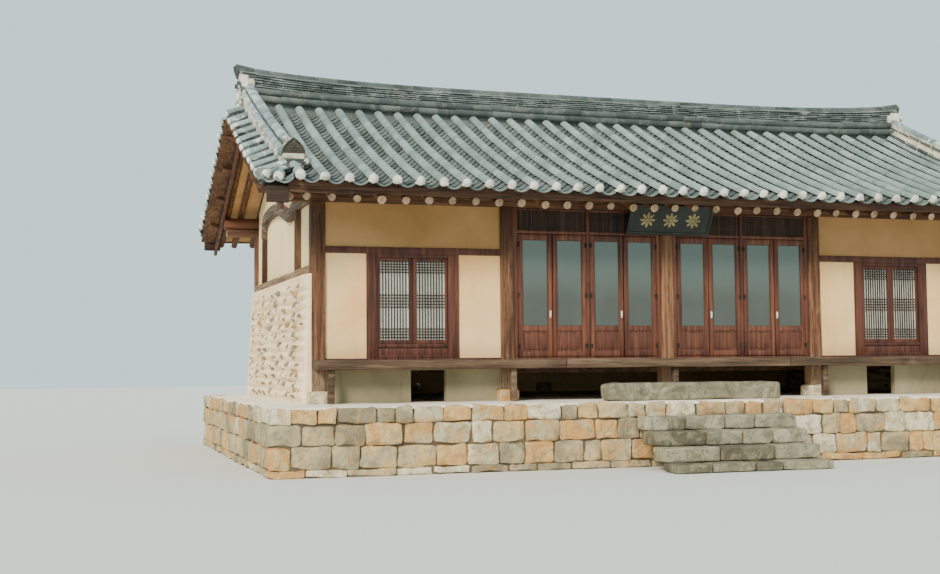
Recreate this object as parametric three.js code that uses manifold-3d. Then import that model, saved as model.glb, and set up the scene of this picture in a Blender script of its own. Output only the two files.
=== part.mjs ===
// A traditional tiled house: a timber frame on a stone platform, plaster and
// stone walls, glazed door pairs that open over a narrow ledge, and a curved
// gable roof of grey tiles. Millimetres, +Z up, front towards -Y, the origin
// on the ground under the middle of the house.
import * as THREE from 'three';
import { mergeVertices } from 'three/addons/utils/BufferGeometryUtils.js';
import Module from 'manifold-3d';

const wasm = await Module();
wasm.setup();

// Plan: five posts along the front and the back, narrower bays in the middle
const OUTER_BAY = 2500;
const INNER_BAY = 2300;
const POST_X = [-INNER_BAY - OUTER_BAY, -INNER_BAY, 0, INNER_BAY, INNER_BAY + OUTER_BAY];
const WALL_Y = 2400;
const POST = 180;
const GAP = 0.3;

// How far a cut or a join reaches past a face, so that no two faces share a plane
const PAST = 5;

// Heights above the ground
const PLATFORM_TOP = 810;
const STONE_TOP = 965;
const FLOOR_TOP = 1350;
const SILL_BOTTOM = 1230;
const SILL_TOP = 1370;
const STONE_WALL_TOP = 2440;
const RAIL_BOTTOM = 2700;
const RAIL_TOP = 2785;
const POST_TOP = 3340;

// Platform, steps and stepping stone
const PLATFORM = { halfX: 5610, front: 3690, back: 3300 };
const FOUNDATION = 290;
const FOUNDATION_SEAT = 50;
const STEP = { halfX: 1050, tread: 280, first: 105, count: 4 };
const STEPPING_STONE = { halfX: 1230, front: 3330, back: 2960, height: 225 };

// Roof: straight rafters below, a sagging bed and tile field above
const RAFTER = { radius: 52.5, sides: 8, tip: 3380, tipZ: 3271, slope: 0.455 };
const RAFTER_ROW = { pitch: 300, last: 17, clear: 10 };
const BARGE = { inner: 5380, thick: 50, depth: 200, reach: 3400 };
const PURLIN = { radius: 95, sides: 12 };
const HEAD_BEAM = { thick: 130, reach: 5340 };
const ROOF = { topY: 300, eaveY: 3580, topZ: 4876, eaveZ: 3477, sag: 0.17, spans: 6 };
const TILE = { pitch: 290, rollRadius: 66, trough: -50, under: -95, rows: 18 };
const VERGE = { seam: 5330, bed: 5600, edge: 5680, bedDrop: 60, tiles: 12, lap: 28, shy: 2 };
const EAVE_BOARD = { inner: 3330, outer: 3400, seat: 8 };
const LIFT = { roof: 40, ridge: 172, reach: 5526, power: 4.4 };
const RIDGE = {
  halfX: 5480,
  seat: -55,
  height: 600,
  crown: 140,
  foot: [[0, 110], [-60, 132]],
  rolls: { radius: 50, lower: [240, 182], upper: [180, 282] },
  stack: [[128, 338], [132, 512], [90, 515]],
  cap: { radius: 85, z: 515 },
};
const DESCENT = {
  inner: 5110,
  outer: 5387,
  spans: 5,
  splay: 80,
  lean: 55,
  cap: { x: 5257, radius: 66, z: 188 },
  side: { radius: 62, z: 80 },
  endTile: { x: 5210, foot: [140, 66], flank: [[123, 134], [73, 210]], peak: 262, before: 45, behind: 12 },
};

// Timbers across and along the house
const CROSS_BEAM = { half: 100, height: 220, seat: 41, postHalf: 80, tenon: 20 };
const REAR_RAIL = { front: -20, back: 70, heights: [[SILL_BOTTOM, SILL_TOP], [2200, 2285]] };
const REAR_WALL = { front: -130, back: 50 };
const FLOOR = { boards: 60, joistY: [-1500, 0, 1500], joistHalf: 70, joistDepth: 190, edge: 60 };
const LEDGE = { depth: 300, overhang: 70, legX: [-4680, -2300, 0, 2300, 4680], legHalf: 40, legInset: 70 };
const FIRE_MOUTH = { left: -3604, right: -3139, top: 1218 };

// Doors: two pairs of leaves in each middle bay
const DOOR = { jamb: 60, mullion: 50, thick: 40, top: 2996, bottom: 1378, stile: 57, front: 2470 };
const DOOR_GAP = { hinge: 6, meeting: 12 };
const DOOR_FRAME = { back: 2365, lintelBottom: 3004, lintelTop: 3044, headBottom: 3310 };
const HINGE = { radius: 8, plate: 4, reach: 27, length: 60, heights: [1520, 2190, 2860] };
const LEAF = { rail: 1749, railHalf: 32, foot: 70, head: 74, frontPocket: 14, backPocket: 16 };
const TRANSOM = { front: 25, back: 45 };
const NAME_BOARD = { width: 1240, height: 440, thick: 35, lean: Math.PI / 6, above: 26 };

// Windows: a pair of lattice leaves in each outer bay
const WINDOW = { offset: -20, half: 465, jamb: 145, bottom: 1553, top: 2652 };
const WINDOW_LEAF = { front: 2450, back: 2415, parting: 4, groove: 15 };
const WALL = { front: 2455, back: 2365, timberFront: 2475, timberBack: 2395 };

function material(color, roughness, metalness = 0) {
  return new THREE.MeshStandardMaterial({ color, roughness, metalness });
}
const STONE = material(0xb39a78, 0.9);
const STEP_STONE = material(0x9a917f, 0.9);
const TIMBER = material(0x5a3424, 0.75);
const OLD_TIMBER = material(0x6e4a32, 0.8);
const PLASTER = material(0xd9bf8f, 0.95);
const MUD_WALL = material(0xcdb48c, 0.95);
const TILES = material(0x5d676b, 0.8);
const DOOR_WOOD = material(0x6b2f22, 0.5);
const BOARD = material(0x20302b, 0.6);

const house = new THREE.Group();

function addMesh(name, geometry, meshMaterial) {
  const mesh = new THREE.Mesh(geometry, meshMaterial);
  mesh.name = name;
  house.add(mesh);
  return mesh;
}

// Solids from closed meshes, for the joins and cuts
function toSolid(geometry) {
  const bare = geometry.clone();
  bare.deleteAttribute('normal');
  bare.deleteAttribute('uv');
  const merged = mergeVertices(bare, 1e-3);
  const mesh = new wasm.Mesh({
    numProp: 3,
    vertProperties: Float32Array.from(merged.attributes.position.array),
    triVerts: Uint32Array.from(merged.index.array),
  });
  return new wasm.Manifold(mesh);
}

function toGeometry(solid) {
  const mesh = solid.getMesh();
  const geometry = new THREE.BufferGeometry();
  geometry.setAttribute('position', new THREE.BufferAttribute(mesh.vertProperties, 3));
  geometry.setIndex(new THREE.BufferAttribute(mesh.triVerts, 1));
  return geometry;
}

function join(geometries) {
  let solid = toSolid(geometries[0]);
  for (const geometry of geometries.slice(1)) {
    solid = solid.add(toSolid(geometry));
  }
  return toGeometry(solid);
}

function cut(geometry, tools) {
  let solid = toSolid(geometry);
  for (const tool of tools) {
    solid = solid.subtract(toSolid(tool));
  }
  return toGeometry(solid);
}

// A box from its limits along X, Y and Z, grown by a gap on every side
function box(x0, x1, y0, y1, z0, z1, grow = 0) {
  const size = [x1 - x0, y1 - y0, z1 - z0].map((length) => length + 2 * grow);
  const geometry = new THREE.BoxGeometry(...size);
  return geometry.translate((x0 + x1) / 2, (y0 + y1) / 2, (z0 + z1) / 2);
}

function outline(points) {
  return new THREE.Shape(points.map(([x, y]) => new THREE.Vector2(x, y)));
}

// An outline given in (x, z), standing between two places along Y
function acrossY(points, y0, y1) {
  const geometry = new THREE.ExtrudeGeometry(outline(points), { depth: y1 - y0, bevelEnabled: false });
  return geometry.rotateX(Math.PI / 2).translate(0, y1, 0);
}

// An outline given in (y, z), standing between two places along X
function acrossX(points, x0, x1) {
  const geometry = new THREE.ExtrudeGeometry(outline(points), { depth: x1 - x0, bevelEnabled: false });
  const axes = new THREE.Matrix4().set(0, 0, 1, x0, 1, 0, 0, 0, 0, 1, 0, 0, 0, 0, 0, 1);
  return geometry.applyMatrix4(axes);
}

// The mirror image across the plane X = 0, with its faces turned back out
function mirrored(geometry) {
  const copy = geometry.index ? geometry.toNonIndexed() : geometry.clone();
  const position = copy.attributes.position;
  const corners = [];
  for (let i = 0; i < position.count; i += 3) {
    for (const k of [i, i + 2, i + 1]) {
      corners.push(-position.getX(k), position.getY(k), position.getZ(k));
    }
  }
  const turned = new THREE.BufferGeometry();
  turned.setAttribute('position', new THREE.Float32BufferAttribute(corners, 3));
  return mergeVertices(turned, 1e-3);
}

function halfTurn(geometry) {
  return geometry.clone().rotateZ(Math.PI);
}

// Rafter lines: centre, top and bottom heights at a distance from the ridge
const SLOPE_COS = 1 / Math.hypot(1, RAFTER.slope);
const RAFTER_RISE = RAFTER.radius / SLOPE_COS;
const rafterMiddle = (y) => RAFTER.tipZ + RAFTER.slope * (RAFTER.tip - y);
const rafterTop = (y) => rafterMiddle(y) + RAFTER_RISE;
const rafterBottom = (y) => rafterMiddle(y) - RAFTER_RISE;
const PURLIN_CORNER = Math.PI / PURLIN.sides;
const PURLIN_TILT = Math.atan(RAFTER.slope) - PURLIN_CORNER;
const PURLIN_REACH = (PURLIN.radius / Math.cos(PURLIN_CORNER)) * Math.cos(PURLIN_TILT);
const PURLIN_DROP = PURLIN_REACH / SLOPE_COS + GAP;
const WALL_PURLIN_Z = rafterBottom(WALL_Y) - PURLIN_DROP;
const RIDGE_PURLIN_Z = rafterBottom(0) - PURLIN_DROP;
const HEAD_TOP = WALL_PURLIN_Z - PURLIN.radius - GAP;

// Roof surface: centre height of the tile rolls, sagging between ridge and eave
function rollHeight(y) {
  const u = (y - ROOF.topY) / (ROOF.eaveY - ROOF.topY);
  return ROOF.topZ - (ROOF.topZ - ROOF.eaveZ) * u * (1 + ROOF.sag * (1 - u));
}

// The stations that every layer of the roof shares, so that layers never cross
const SPAN = (ROOF.eaveY - ROOF.topY) / ROOF.spans;
const X_STATIONS = [0, 2900, 4350, VERGE.seam, VERGE.bed, VERGE.edge];

function rise(x, height) {
  return height * (Math.abs(x) / LIFT.reach) ** LIFT.power;
}

function stationShift(x) {
  const edgeDrop = (VERGE.bedDrop * Math.max(0, x - VERGE.seam)) / (VERGE.bed - VERGE.seam);
  return rise(x, LIFT.roof) - edgeDrop;
}

function sample(stations, values, at) {
  let k = 0;
  while (k < stations.length - 2 && at > stations[k + 1]) {
    k += 1;
  }
  const part = (at - stations[k]) / (stations[k + 1] - stations[k]);
  return values[k] + part * (values[k + 1] - values[k]);
}

const roofShift = (x) => sample(X_STATIONS, X_STATIONS.map(stationShift), Math.abs(x));
const Y_STATIONS = Array.from({ length: ROOF.spans + 1 }, (_, k) => ROOF.topY + SPAN * k);
const roofHeight = (y) => sample(Y_STATIONS, Y_STATIONS.map(rollHeight), y);

// Moves every corner of a geometry by a rule
function reshape(geometry, rule) {
  const bare = geometry.clone();
  bare.deleteAttribute('normal');
  bare.deleteAttribute('uv');
  const merged = mergeVertices(bare, 1e-3);
  const position = merged.attributes.position;
  const point = new THREE.Vector3();
  for (let i = 0; i < position.count; i += 1) {
    point.fromBufferAttribute(position, i);
    rule(point);
    position.setXYZ(i, point.x, point.y, point.z);
  }
  return merged;
}

// A layer across the front slope: (x, height above the rolls' centre) swept
// from the ridge towards the eave, over a number of the shared spans. The rule
// may move x with the part of the way down.
function slopeLayer(points, spans, rule = (x) => x) {
  const options = { depth: spans, steps: spans, bevelEnabled: false };
  const strip = new THREE.ExtrudeGeometry(outline(points), options);
  return reshape(strip, (p) => {
    const y = ROOF.topY + SPAN * p.z;
    const x = rule(p.x, p.z / spans);
    p.set(x, -y, roofHeight(y) + p.y + roofShift(x));
  });
}

// One half-round roll as outline points, from left to right
function rollArc(centre, radius, base, sides = 4) {
  const points = [];
  for (let k = 0; k <= sides; k += 1) {
    const angle = Math.PI * (1 - k / sides);
    points.push([centre + radius * Math.cos(angle), base + (radius - base) * Math.sin(angle)]);
  }
  return points;
}

function tileField() {
  const points = [];
  for (const x of X_STATIONS.slice(0, 4).reverse()) {
    points.push([x, TILE.under]);
  }
  for (const x of X_STATIONS.slice(1, 4)) {
    points.push([-x, TILE.under]);
  }
  points.push([-VERGE.seam, TILE.trough]);
  for (let row = -TILE.rows; row <= TILE.rows; row += 1) {
    points.push(...rollArc(row * TILE.pitch, TILE.rollRadius, TILE.trough));
  }
  points.push([VERGE.seam, TILE.trough]);
  return slopeLayer(points.reverse(), ROOF.spans);
}

// The short side tiles of one verge, lying across the slope and let into the field
function vergeTiles() {
  const trough = TILE.trough + VERGE.shy;
  const under = TILE.under + VERGE.shy / 2;
  const length = ROOF.eaveY - ROOF.topY;
  const pitch = length / VERGE.tiles;
  const [upper, lower] = [VERGE.shy, length - VERGE.shy];
  const points = [[lower, under]];
  for (let k = ROOF.spans - 1; k > 0; k -= 1) {
    points.push([k * SPAN, under]);
  }
  points.push([upper, under], [upper, trough]);
  for (let k = 0; k < VERGE.tiles; k += 1) {
    points.push(...rollArc((k + 0.5) * pitch, TILE.rollRadius, trough));
  }
  points.push([lower, trough]);
  const xs = [VERGE.edge, VERGE.bed, VERGE.seam + 3 * VERGE.shy, VERGE.seam - VERGE.lap];
  const options = { depth: xs.length - 1, steps: xs.length - 1, bevelEnabled: false };
  const strip = new THREE.ExtrudeGeometry(outline(points.reverse()), options);
  return reshape(strip, (p) => {
    const x = xs[Math.round(p.z)];
    const y = ROOF.topY + p.x;
    p.set(x, -y, roofHeight(y) + p.y + roofShift(x));
  });
}

function addRoofTiles() {
  const right = vergeTiles();
  const slope = join([tileField(), right, mirrored(right)]);
  addMesh('roof_tiles_front', slope, TILES);
  addMesh('roof_tiles_rear', halfTurn(slope), TILES);
}

// Earth and lath between the rafters and the tiles, over both slopes
function addRoofBed() {
  const under = (y) => rafterTop(y) + GAP;
  const over = (y) => roofHeight(y) + TILE.under - GAP;
  const half = [[0, under(0)], [EAVE_BOARD.inner, under(EAVE_BOARD.inner)]];
  half.push([EAVE_BOARD.inner, over(EAVE_BOARD.inner)]);
  for (const y of [...Y_STATIONS.slice(0, -1)].reverse()) {
    half.push([y, over(y)]);
  }
  half.push([0, over(ROOF.topY) + RIDGE.crown]);
  const mirror = half.slice(1, -1).reverse().map(([y, z]) => [-y, z]);
  const stations = X_STATIONS.slice(0, -1);
  const xs = [...stations.slice(1).reverse().map((x) => -x), ...stations];
  const options = { depth: xs.length - 1, steps: xs.length - 1, bevelEnabled: false };
  const block = new THREE.ExtrudeGeometry(outline([...half, ...mirror]), options);
  const bed = reshape(block, (p) => {
    const x = xs[Math.round(p.z)];
    const [y, z] = [p.x, p.y];
    const lifted = z > under(Math.abs(y)) + 1;
    p.set(x, y, z + (lifted ? roofShift(x) : 0));
  });
  addMesh('roof_bed', bed, MUD_WALL);
}

function roundBeam(radius, sides, length) {
  const apothem = radius / Math.cos(Math.PI / sides);
  const beam = new THREE.CylinderGeometry(apothem, apothem, length, sides);
  return beam.rotateY(Math.PI / sides);
}

// The rafters of the front slope, tied by the board along their tips
function addRafters() {
  const run = RAFTER.tip - GAP;
  const length = run / SLOPE_COS;
  const pitchAngle = Math.atan(RAFTER.slope);
  const places = [];
  for (let k = -RAFTER_ROW.last; k <= RAFTER_ROW.last; k += 1) {
    places.push(k * RAFTER_ROW.pitch);
  }
  const outermost = BARGE.inner - RAFTER.radius - RAFTER_ROW.clear;
  places.push(-outermost, outermost);
  const slopeBox = box(-BARGE.inner, BARGE.inner, -RAFTER.tip, -GAP, POST_TOP - 500, ROOF.topZ + 500);
  const pieces = places.map((x) => {
    const rafter = roundBeam(RAFTER.radius, RAFTER.sides, length + 200);
    rafter.rotateX(pitchAngle);
    return rafter.translate(x, -run / 2, rafterMiddle(run / 2));
  });
  const trimmed = pieces.map((piece) => toSolid(piece).intersect(toSolid(slopeBox)));
  const boardTop = roofHeight(EAVE_BOARD.outer) + TILE.under - GAP;
  const boardFoot = rafterTop(EAVE_BOARD.outer) - EAVE_BOARD.seat;
  const boardBack = -EAVE_BOARD.inner - GAP;
  const board = box(-VERGE.seam, VERGE.seam, -EAVE_BOARD.outer, boardBack, boardFoot, boardTop);
  let solid = toSolid(board);
  for (const rafter of trimmed) {
    solid = solid.add(rafter);
  }
  const slope = toGeometry(solid);
  addMesh('rafters_front', slope, TIMBER);
  addMesh('rafters_rear', halfTurn(slope), TIMBER);
}

// The boards that close the rafters at each gable, joined at the top
function addBargeboards() {
  const ends = (y) => rafterTop(y) - GAP;
  const points = [
    [-BARGE.reach, ends(BARGE.reach)], [-BARGE.reach, ends(BARGE.reach) - BARGE.depth],
    [0, ends(0) - BARGE.depth],
    [BARGE.reach, ends(BARGE.reach) - BARGE.depth], [BARGE.reach, ends(BARGE.reach)], [0, ends(0)],
  ];
  const right = acrossX(points, BARGE.inner + GAP, BARGE.inner + BARGE.thick);
  addMesh('bargeboard_right', right, TIMBER);
  addMesh('bargeboard_left', mirrored(right), TIMBER);
}

// Main ridge: side rolls, a stack of thin tiles and a round cap
function ridgeHalf() {
  const { foot, rolls, stack, cap } = RIDGE;
  const base = roofHeight(ROOF.topY) + RIDGE.seat;
  const bed = TILE.under - RIDGE.seat;
  const side = ROOF.topY - GAP;
  const lift = ([y, z]) => [y, base + z];
  const arc = ([y, z], radius, from) => [0, 1, 2, 3].map((k) => {
    const angle = from + ((Math.PI / 2 - from) * k) / 3;
    return lift([y + radius * Math.cos(angle), z + radius * Math.sin(angle)]);
  });
  return [
    lift([0, bed + RIDGE.crown]), lift([side, bed]),
    ...foot.map(([y, z]) => lift([y ? ROOF.topY + y : side, z])),
    ...arc(rolls.lower, rolls.radius, -Math.PI / 2),
    ...arc(rolls.upper, rolls.radius, -Math.PI / 2),
    ...stack.map(lift),
    ...arc([0, cap.z], cap.radius, 0).slice(1),
  ];
}

// A stretch of the ridge through the given places along X
function ridgeStretch(xs) {
  const half = ridgeHalf();
  const points = [...half, ...half.slice(1, -1).reverse().map(([y, z]) => [-y, z])];
  const base = roofHeight(ROOF.topY) + RIDGE.seat;
  const options = { depth: xs.length - 1, steps: xs.length - 1, bevelEnabled: false };
  const bar = new THREE.ExtrudeGeometry(outline(points), options);
  return reshape(bar, (p) => {
    const x = xs[Math.round(p.z)];
    const [y, z] = [p.x, p.y];
    const share = Math.max(0, z - base) / RIDGE.height;
    const extra = share * (rise(x, LIFT.ridge) - roofShift(x));
    p.set(x, y, z + roofShift(x) + extra);
  });
}

// Two halves that meet over the middle post: each is nearly level there and
// climbs towards its gable
function addMainRidge() {
  const [, inner, outer, seam] = X_STATIONS;
  const half = ridgeStretch([GAP / 2, inner, outer, seam, RIDGE.halfX]);
  addMesh('main_ridge_right', half, TILES);
  addMesh('main_ridge_left', mirrored(half), TILES);
}

// A ridge running down beside a verge, farther out towards the main ridge, with
// a pointed tile at its lower end
function descendingRidge() {
  const seat = TILE.rollRadius + GAP;
  const { inner, outer, cap, side, endTile } = DESCENT;
  const crown = rollArc(cap.x, cap.radius, 0).map(([x, z]) => [x, seat + cap.z + z]);
  const shoulder = rollArc(outer - side.radius, side.radius, 0).slice(2, -1);
  const points = [
    [inner, seat], [inner + DESCENT.lean, seat + cap.z], ...crown,
    ...shoulder.map(([x, z]) => [x, seat + side.z + z]),
    [outer, seat + side.z], [outer, seat], [VERGE.seam, seat],
  ];
  const splayed = (x, part) => (x === VERGE.seam ? x : x + DESCENT.splay * (1 - part));
  const body = slopeLayer(points.reverse(), DESCENT.spans, splayed);
  const lower = ROOF.topY + SPAN * DESCENT.spans;
  const base = roofHeight(lower) + seat + roofShift(endTile.x);
  const half = [endTile.foot, ...endTile.flank];
  const mirror = [...half].reverse().map(([x, z]) => [-x, z]);
  const crest = [...half, [0, endTile.peak], ...mirror].map(([x, z]) => [endTile.x + x, base + z]);
  const tile = acrossY(crest, -lower - endTile.before, -lower + endTile.behind);
  return join([body, tile]);
}

function addDescendingRidges() {
  const right = descendingRidge();
  const left = mirrored(right);
  addMesh('descending_ridge_front_right', right, TILES);
  addMesh('descending_ridge_front_left', left, TILES);
  addMesh('descending_ridge_rear_left', halfTurn(right), TILES);
  addMesh('descending_ridge_rear_right', halfTurn(left), TILES);
}

function addPurlins() {
  const purlin = (y, z) => {
    const beam = roundBeam(PURLIN.radius, PURLIN.sides, 2 * BARGE.inner);
    return beam.rotateZ(Math.PI / 2).translate(0, y, z);
  };
  addMesh('purlin_front', purlin(-WALL_Y, WALL_PURLIN_Z), TIMBER);
  addMesh('purlin_rear', purlin(WALL_Y, WALL_PURLIN_Z), TIMBER);
  addMesh('ridge_purlin', purlin(0, RIDGE_PURLIN_Z), TIMBER);
  for (const [name, y] of [['head_beam_front', -WALL_Y], ['head_beam_rear', WALL_Y]]) {
    const half = HEAD_BEAM.thick / 2;
    addMesh(name, box(-HEAD_BEAM.reach, HEAD_BEAM.reach, y - half, y + half, POST_TOP, HEAD_TOP), TIMBER);
  }
}

// Beams across the house on the inner posts, each with a post to the ridge
function addCrossBeams() {
  const end = WALL_Y - HEAD_BEAM.thick / 2 - GAP;
  const ridgeFoot = RIDGE_PURLIN_Z - PURLIN.radius - GAP;
  const { half, height, seat, postHalf, tenon } = CROSS_BEAM;
  POST_X.slice(1, -1).forEach((x, index) => {
    const beamTop = POST_TOP + height;
    const beam = box(x - half, x + half, -end, end, POST_TOP, beamTop);
    const clear = box(x - 2 * half, x + 2 * half, -end - PAST, -end + seat, HEAD_TOP, beamTop + PAST);
    const shaped = cut(beam, [clear, halfTurn(clear.clone().translate(-2 * x, 0, 0))]);
    const post = box(x - postHalf, x + postHalf, -postHalf, postHalf, beamTop - tenon, ridgeFoot);
    addMesh(`cross_beam_${index + 1}`, join([shaped, post]), TIMBER);
  });
}

function addPosts() {
  POST_X.forEach((x, index) => {
    const half = POST / 2;
    const post = box(x - half, x + half, -WALL_Y - half, -WALL_Y + half, STONE_TOP, POST_TOP);
    addMesh(`front_post_${index + 1}`, post, TIMBER);
  });
}

function rearRails(grow = 0) {
  const [y0, y1] = [WALL_Y + REAR_RAIL.front, WALL_Y + REAR_RAIL.back];
  return REAR_RAIL.heights.map(([z0, z1]) => box(POST_X[0], POST_X[4], y0, y1, z0, z1, grow));
}

// The back of the frame: its posts with the rails between them
function addRearFrame() {
  const half = POST / 2;
  const post = (x) => box(x - half, x + half, WALL_Y - half, WALL_Y + half, STONE_TOP, POST_TOP);
  addMesh('rear_frame', join([...POST_X.map(post), ...rearRails()]), TIMBER);
}

function addRearWall() {
  const half = POST / 2 + GAP;
  const reach = POST_X[4] - half;
  const [front, back] = [WALL_Y + REAR_WALL.front, WALL_Y + REAR_WALL.back];
  const slab = box(-reach, reach, front, back, PLATFORM_TOP, POST_TOP - GAP);
  const stone = FOUNDATION / 2 + GAP;
  const tools = rearRails(GAP);
  for (const x of POST_X) {
    tools.push(box(x - half, x + half, WALL_Y - half, WALL_Y + half, 0, POST_TOP + PAST));
    tools.push(box(x - stone, x + stone, WALL_Y - stone, WALL_Y + stone, 0, STONE_TOP + GAP));
  }
  const headroom = HEAD_BEAM.thick / 2;
  tools.push(box(-reach, reach, WALL_Y - headroom, WALL_Y + headroom, POST_TOP, HEAD_TOP, GAP));
  addMesh('rear_wall', cut(slab, tools), PLASTER);
}

function addPlatform() {
  const body = box(-PLATFORM.halfX, PLATFORM.halfX, -PLATFORM.front, PLATFORM.back, 0, PLATFORM_TOP);
  const half = FOUNDATION / 2;
  const stones = [];
  for (const x of POST_X) {
    for (const y of [-WALL_Y, WALL_Y]) {
      const foot = PLATFORM_TOP - FOUNDATION_SEAT;
      stones.push(box(x - half, x + half, y - half, y + half, foot, STONE_TOP));
    }
  }
  addMesh('stone_platform', join([body, ...stones]), STONE);
}

function addSteps() {
  const rest = (PLATFORM_TOP - STEP.first) / STEP.count;
  const face = PLATFORM.front + GAP;
  const points = [[-face, 0]];
  let y = face + STEP.tread * STEP.count;
  let z = STEP.first;
  points.push([-y, 0]);
  for (let k = 0; k < STEP.count; k += 1) {
    points.push([-y, z]);
    y -= STEP.tread;
    points.push([-y, z]);
    z += rest;
  }
  addMesh('front_steps', acrossX(points.reverse(), -STEP.halfX, STEP.halfX), STEP_STONE);
  const { halfX, front, back, height } = STEPPING_STONE;
  const stone = box(-halfX, halfX, -front, -back, PLATFORM_TOP, PLATFORM_TOP + height);
  addMesh('stepping_stone', stone, STEP_STONE);
}

function addFloor() {
  const edgeX = POST_X[4] - FLOOR.edge;
  const back = WALL_Y + REAR_WALL.front - GAP;
  const boardFoot = FLOOR_TOP - FLOOR.boards;
  const boards = box(-edgeX, edgeX, -DOOR_FRAME.back + GAP, back, boardFoot, FLOOR_TOP);
  const joist = (y) => {
    const [y0, y1] = [y - FLOOR.joistHalf, y + FLOOR.joistHalf];
    return box(-edgeX, edgeX, y0, y1, FLOOR_TOP - FLOOR.joistDepth, boardFoot + PAST);
  };
  const joists = FLOOR.joistY.map(joist);
  const half = POST / 2 + GAP;
  const [front, inner] = [-WALL_Y - half, -WALL_Y + half];
  const posts = POST_X.map((x) => box(x - half, x + half, front, inner, STONE_TOP, POST_TOP));
  addMesh('floor', cut(join([boards, ...joists]), posts), OLD_TIMBER);
}

// The narrow ledge in front of the posts, on short legs
function addLedge() {
  const reach = POST_X[4] + LEDGE.overhang;
  const back = -WALL_Y - POST / 2 - GAP;
  const front = back - LEDGE.depth;
  const plank = box(-reach, reach, front, back, SILL_BOTTOM, FLOOR_TOP);
  const legs = LEDGE.legX.map((x) => {
    const [y0, y1] = [front + LEDGE.legInset, front + LEDGE.legInset + 2 * LEDGE.legHalf];
    return box(x - LEDGE.legHalf, x + LEDGE.legHalf, y0, y1, PLATFORM_TOP, SILL_BOTTOM + PAST);
  });
  addMesh('front_ledge', join([plank, ...legs]), OLD_TIMBER);
}

// Low wall under an outer bay, with the mouth of the floor heating
function addBaseWalls() {
  const left = POST_X[0] + POST / 2 + GAP;
  const right = POST_X[1] - POST / 2 - GAP;
  const stone = (FOUNDATION - POST) / 2;
  const points = [
    [left + stone, PLATFORM_TOP], [FIRE_MOUTH.left, PLATFORM_TOP], [FIRE_MOUTH.left, FIRE_MOUTH.top],
    [FIRE_MOUTH.right, FIRE_MOUTH.top], [FIRE_MOUTH.right, PLATFORM_TOP],
    [right - stone, PLATFORM_TOP], [right - stone, STONE_TOP + GAP],
    [right, STONE_TOP + GAP], [right, SILL_BOTTOM - GAP], [left, SILL_BOTTOM - GAP],
    [left, STONE_TOP + GAP], [left + stone, STONE_TOP + GAP],
  ];
  const wall = acrossY(points, -WALL.front, -WALL.back);
  addMesh('base_wall_left', wall, PLASTER);
  addMesh('base_wall_right', mirrored(wall), PLASTER);
}

// Timbers of the left window bay as boxes, grown to cut their seats
function windowTimbers(grow = 0) {
  const left = POST_X[0] + POST / 2 + GAP;
  const right = POST_X[1] - POST / 2 - GAP;
  const middle = (left + right) / 2 + WINDOW.offset;
  const [front, back] = [-WALL.timberFront, -WALL.timberBack];
  const bar = (x0, x1, z0, z1) => box(x0, x1, front, back, z0, z1, grow);
  const inner = WINDOW.half;
  const outer = inner + WINDOW.jamb;
  return {
    middle,
    bars: [
      bar(left, right, SILL_BOTTOM, SILL_TOP),
      bar(left, right, RAIL_BOTTOM, RAIL_TOP),
      bar(middle - outer, middle - inner, SILL_TOP - PAST, RAIL_BOTTOM + PAST),
      bar(middle + inner, middle + outer, SILL_TOP - PAST, RAIL_BOTTOM + PAST),
      bar(middle - outer, middle + outer, SILL_TOP - PAST, WINDOW.bottom),
      bar(middle - outer, middle + outer, WINDOW.top, RAIL_BOTTOM + PAST),
    ],
  };
}

function addWindowBays() {
  const { middle, bars } = windowTimbers();
  const frame = join(bars);
  const left = POST_X[0] + POST / 2 + GAP;
  const right = POST_X[1] - POST / 2 - GAP;
  const { half, bottom, top } = WINDOW;
  const slab = box(left, right, -WALL.front, -WALL.back, SILL_TOP - PAST, POST_TOP - GAP);
  const hole = box(middle - half, middle + half, -WALL.front - PAST, -WALL.back + PAST, bottom, top);
  const wall = cut(slab, [...windowTimbers(GAP).bars, hole]);
  const reach = half - GAP;
  const [front, back] = [-WINDOW_LEAF.front, -WINDOW_LEAF.back];
  const leaves = box(middle - reach, middle + reach, front, back, bottom + GAP, top - GAP);
  const slit = WINDOW_LEAF.parting / 2;
  const depth = WINDOW_LEAF.groove;
  const groove = box(middle - slit, middle + slit, front - PAST, front + depth, bottom - PAST, top + PAST);
  const pair = cut(leaves, [groove]);
  for (const [side, turn] of [['left', (g) => g], ['right', mirrored]]) {
    addMesh(`window_frame_${side}`, turn(frame), TIMBER);
    addMesh(`front_wall_${side}`, turn(wall), PLASTER);
    addMesh(`window_leaves_${side}`, turn(pair), OLD_TIMBER);
  }
}

// One middle bay: sill, jambs, mullion, lintel and the closed transom
const DOOR_BAY = { left: POST / 2 + GAP, right: INNER_BAY - POST / 2 - GAP };
const DOOR_MIDDLE = (DOOR_BAY.left + DOOR_BAY.right) / 2;

function addDoorFrames() {
  const [front, back] = [-DOOR.front, -DOOR_FRAME.back];
  const bar = (x0, x1, z0, z1) => box(x0, x1, front, back, z0, z1);
  const { left, right } = DOOR_BAY;
  const half = DOOR.mullion / 2;
  const frame = join([
    bar(left, right, SILL_BOTTOM, SILL_TOP),
    bar(left, left + DOOR.jamb, SILL_BOTTOM, POST_TOP - GAP),
    bar(right - DOOR.jamb, right, SILL_BOTTOM, POST_TOP - GAP),
    bar(DOOR_MIDDLE - half, DOOR_MIDDLE + half, SILL_BOTTOM, POST_TOP - GAP),
    bar(left, right, DOOR_FRAME.lintelBottom, DOOR_FRAME.lintelTop),
    bar(left, right, DOOR_FRAME.headBottom, POST_TOP - GAP),
    box(left, right, front + TRANSOM.front, front + TRANSOM.back, DOOR_FRAME.lintelBottom, POST_TOP - GAP),
  ]);
  addMesh('door_frame_right', frame, DOOR_WOOD);
  addMesh('door_frame_left', mirrored(frame), DOOR_WOOD);
}

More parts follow.
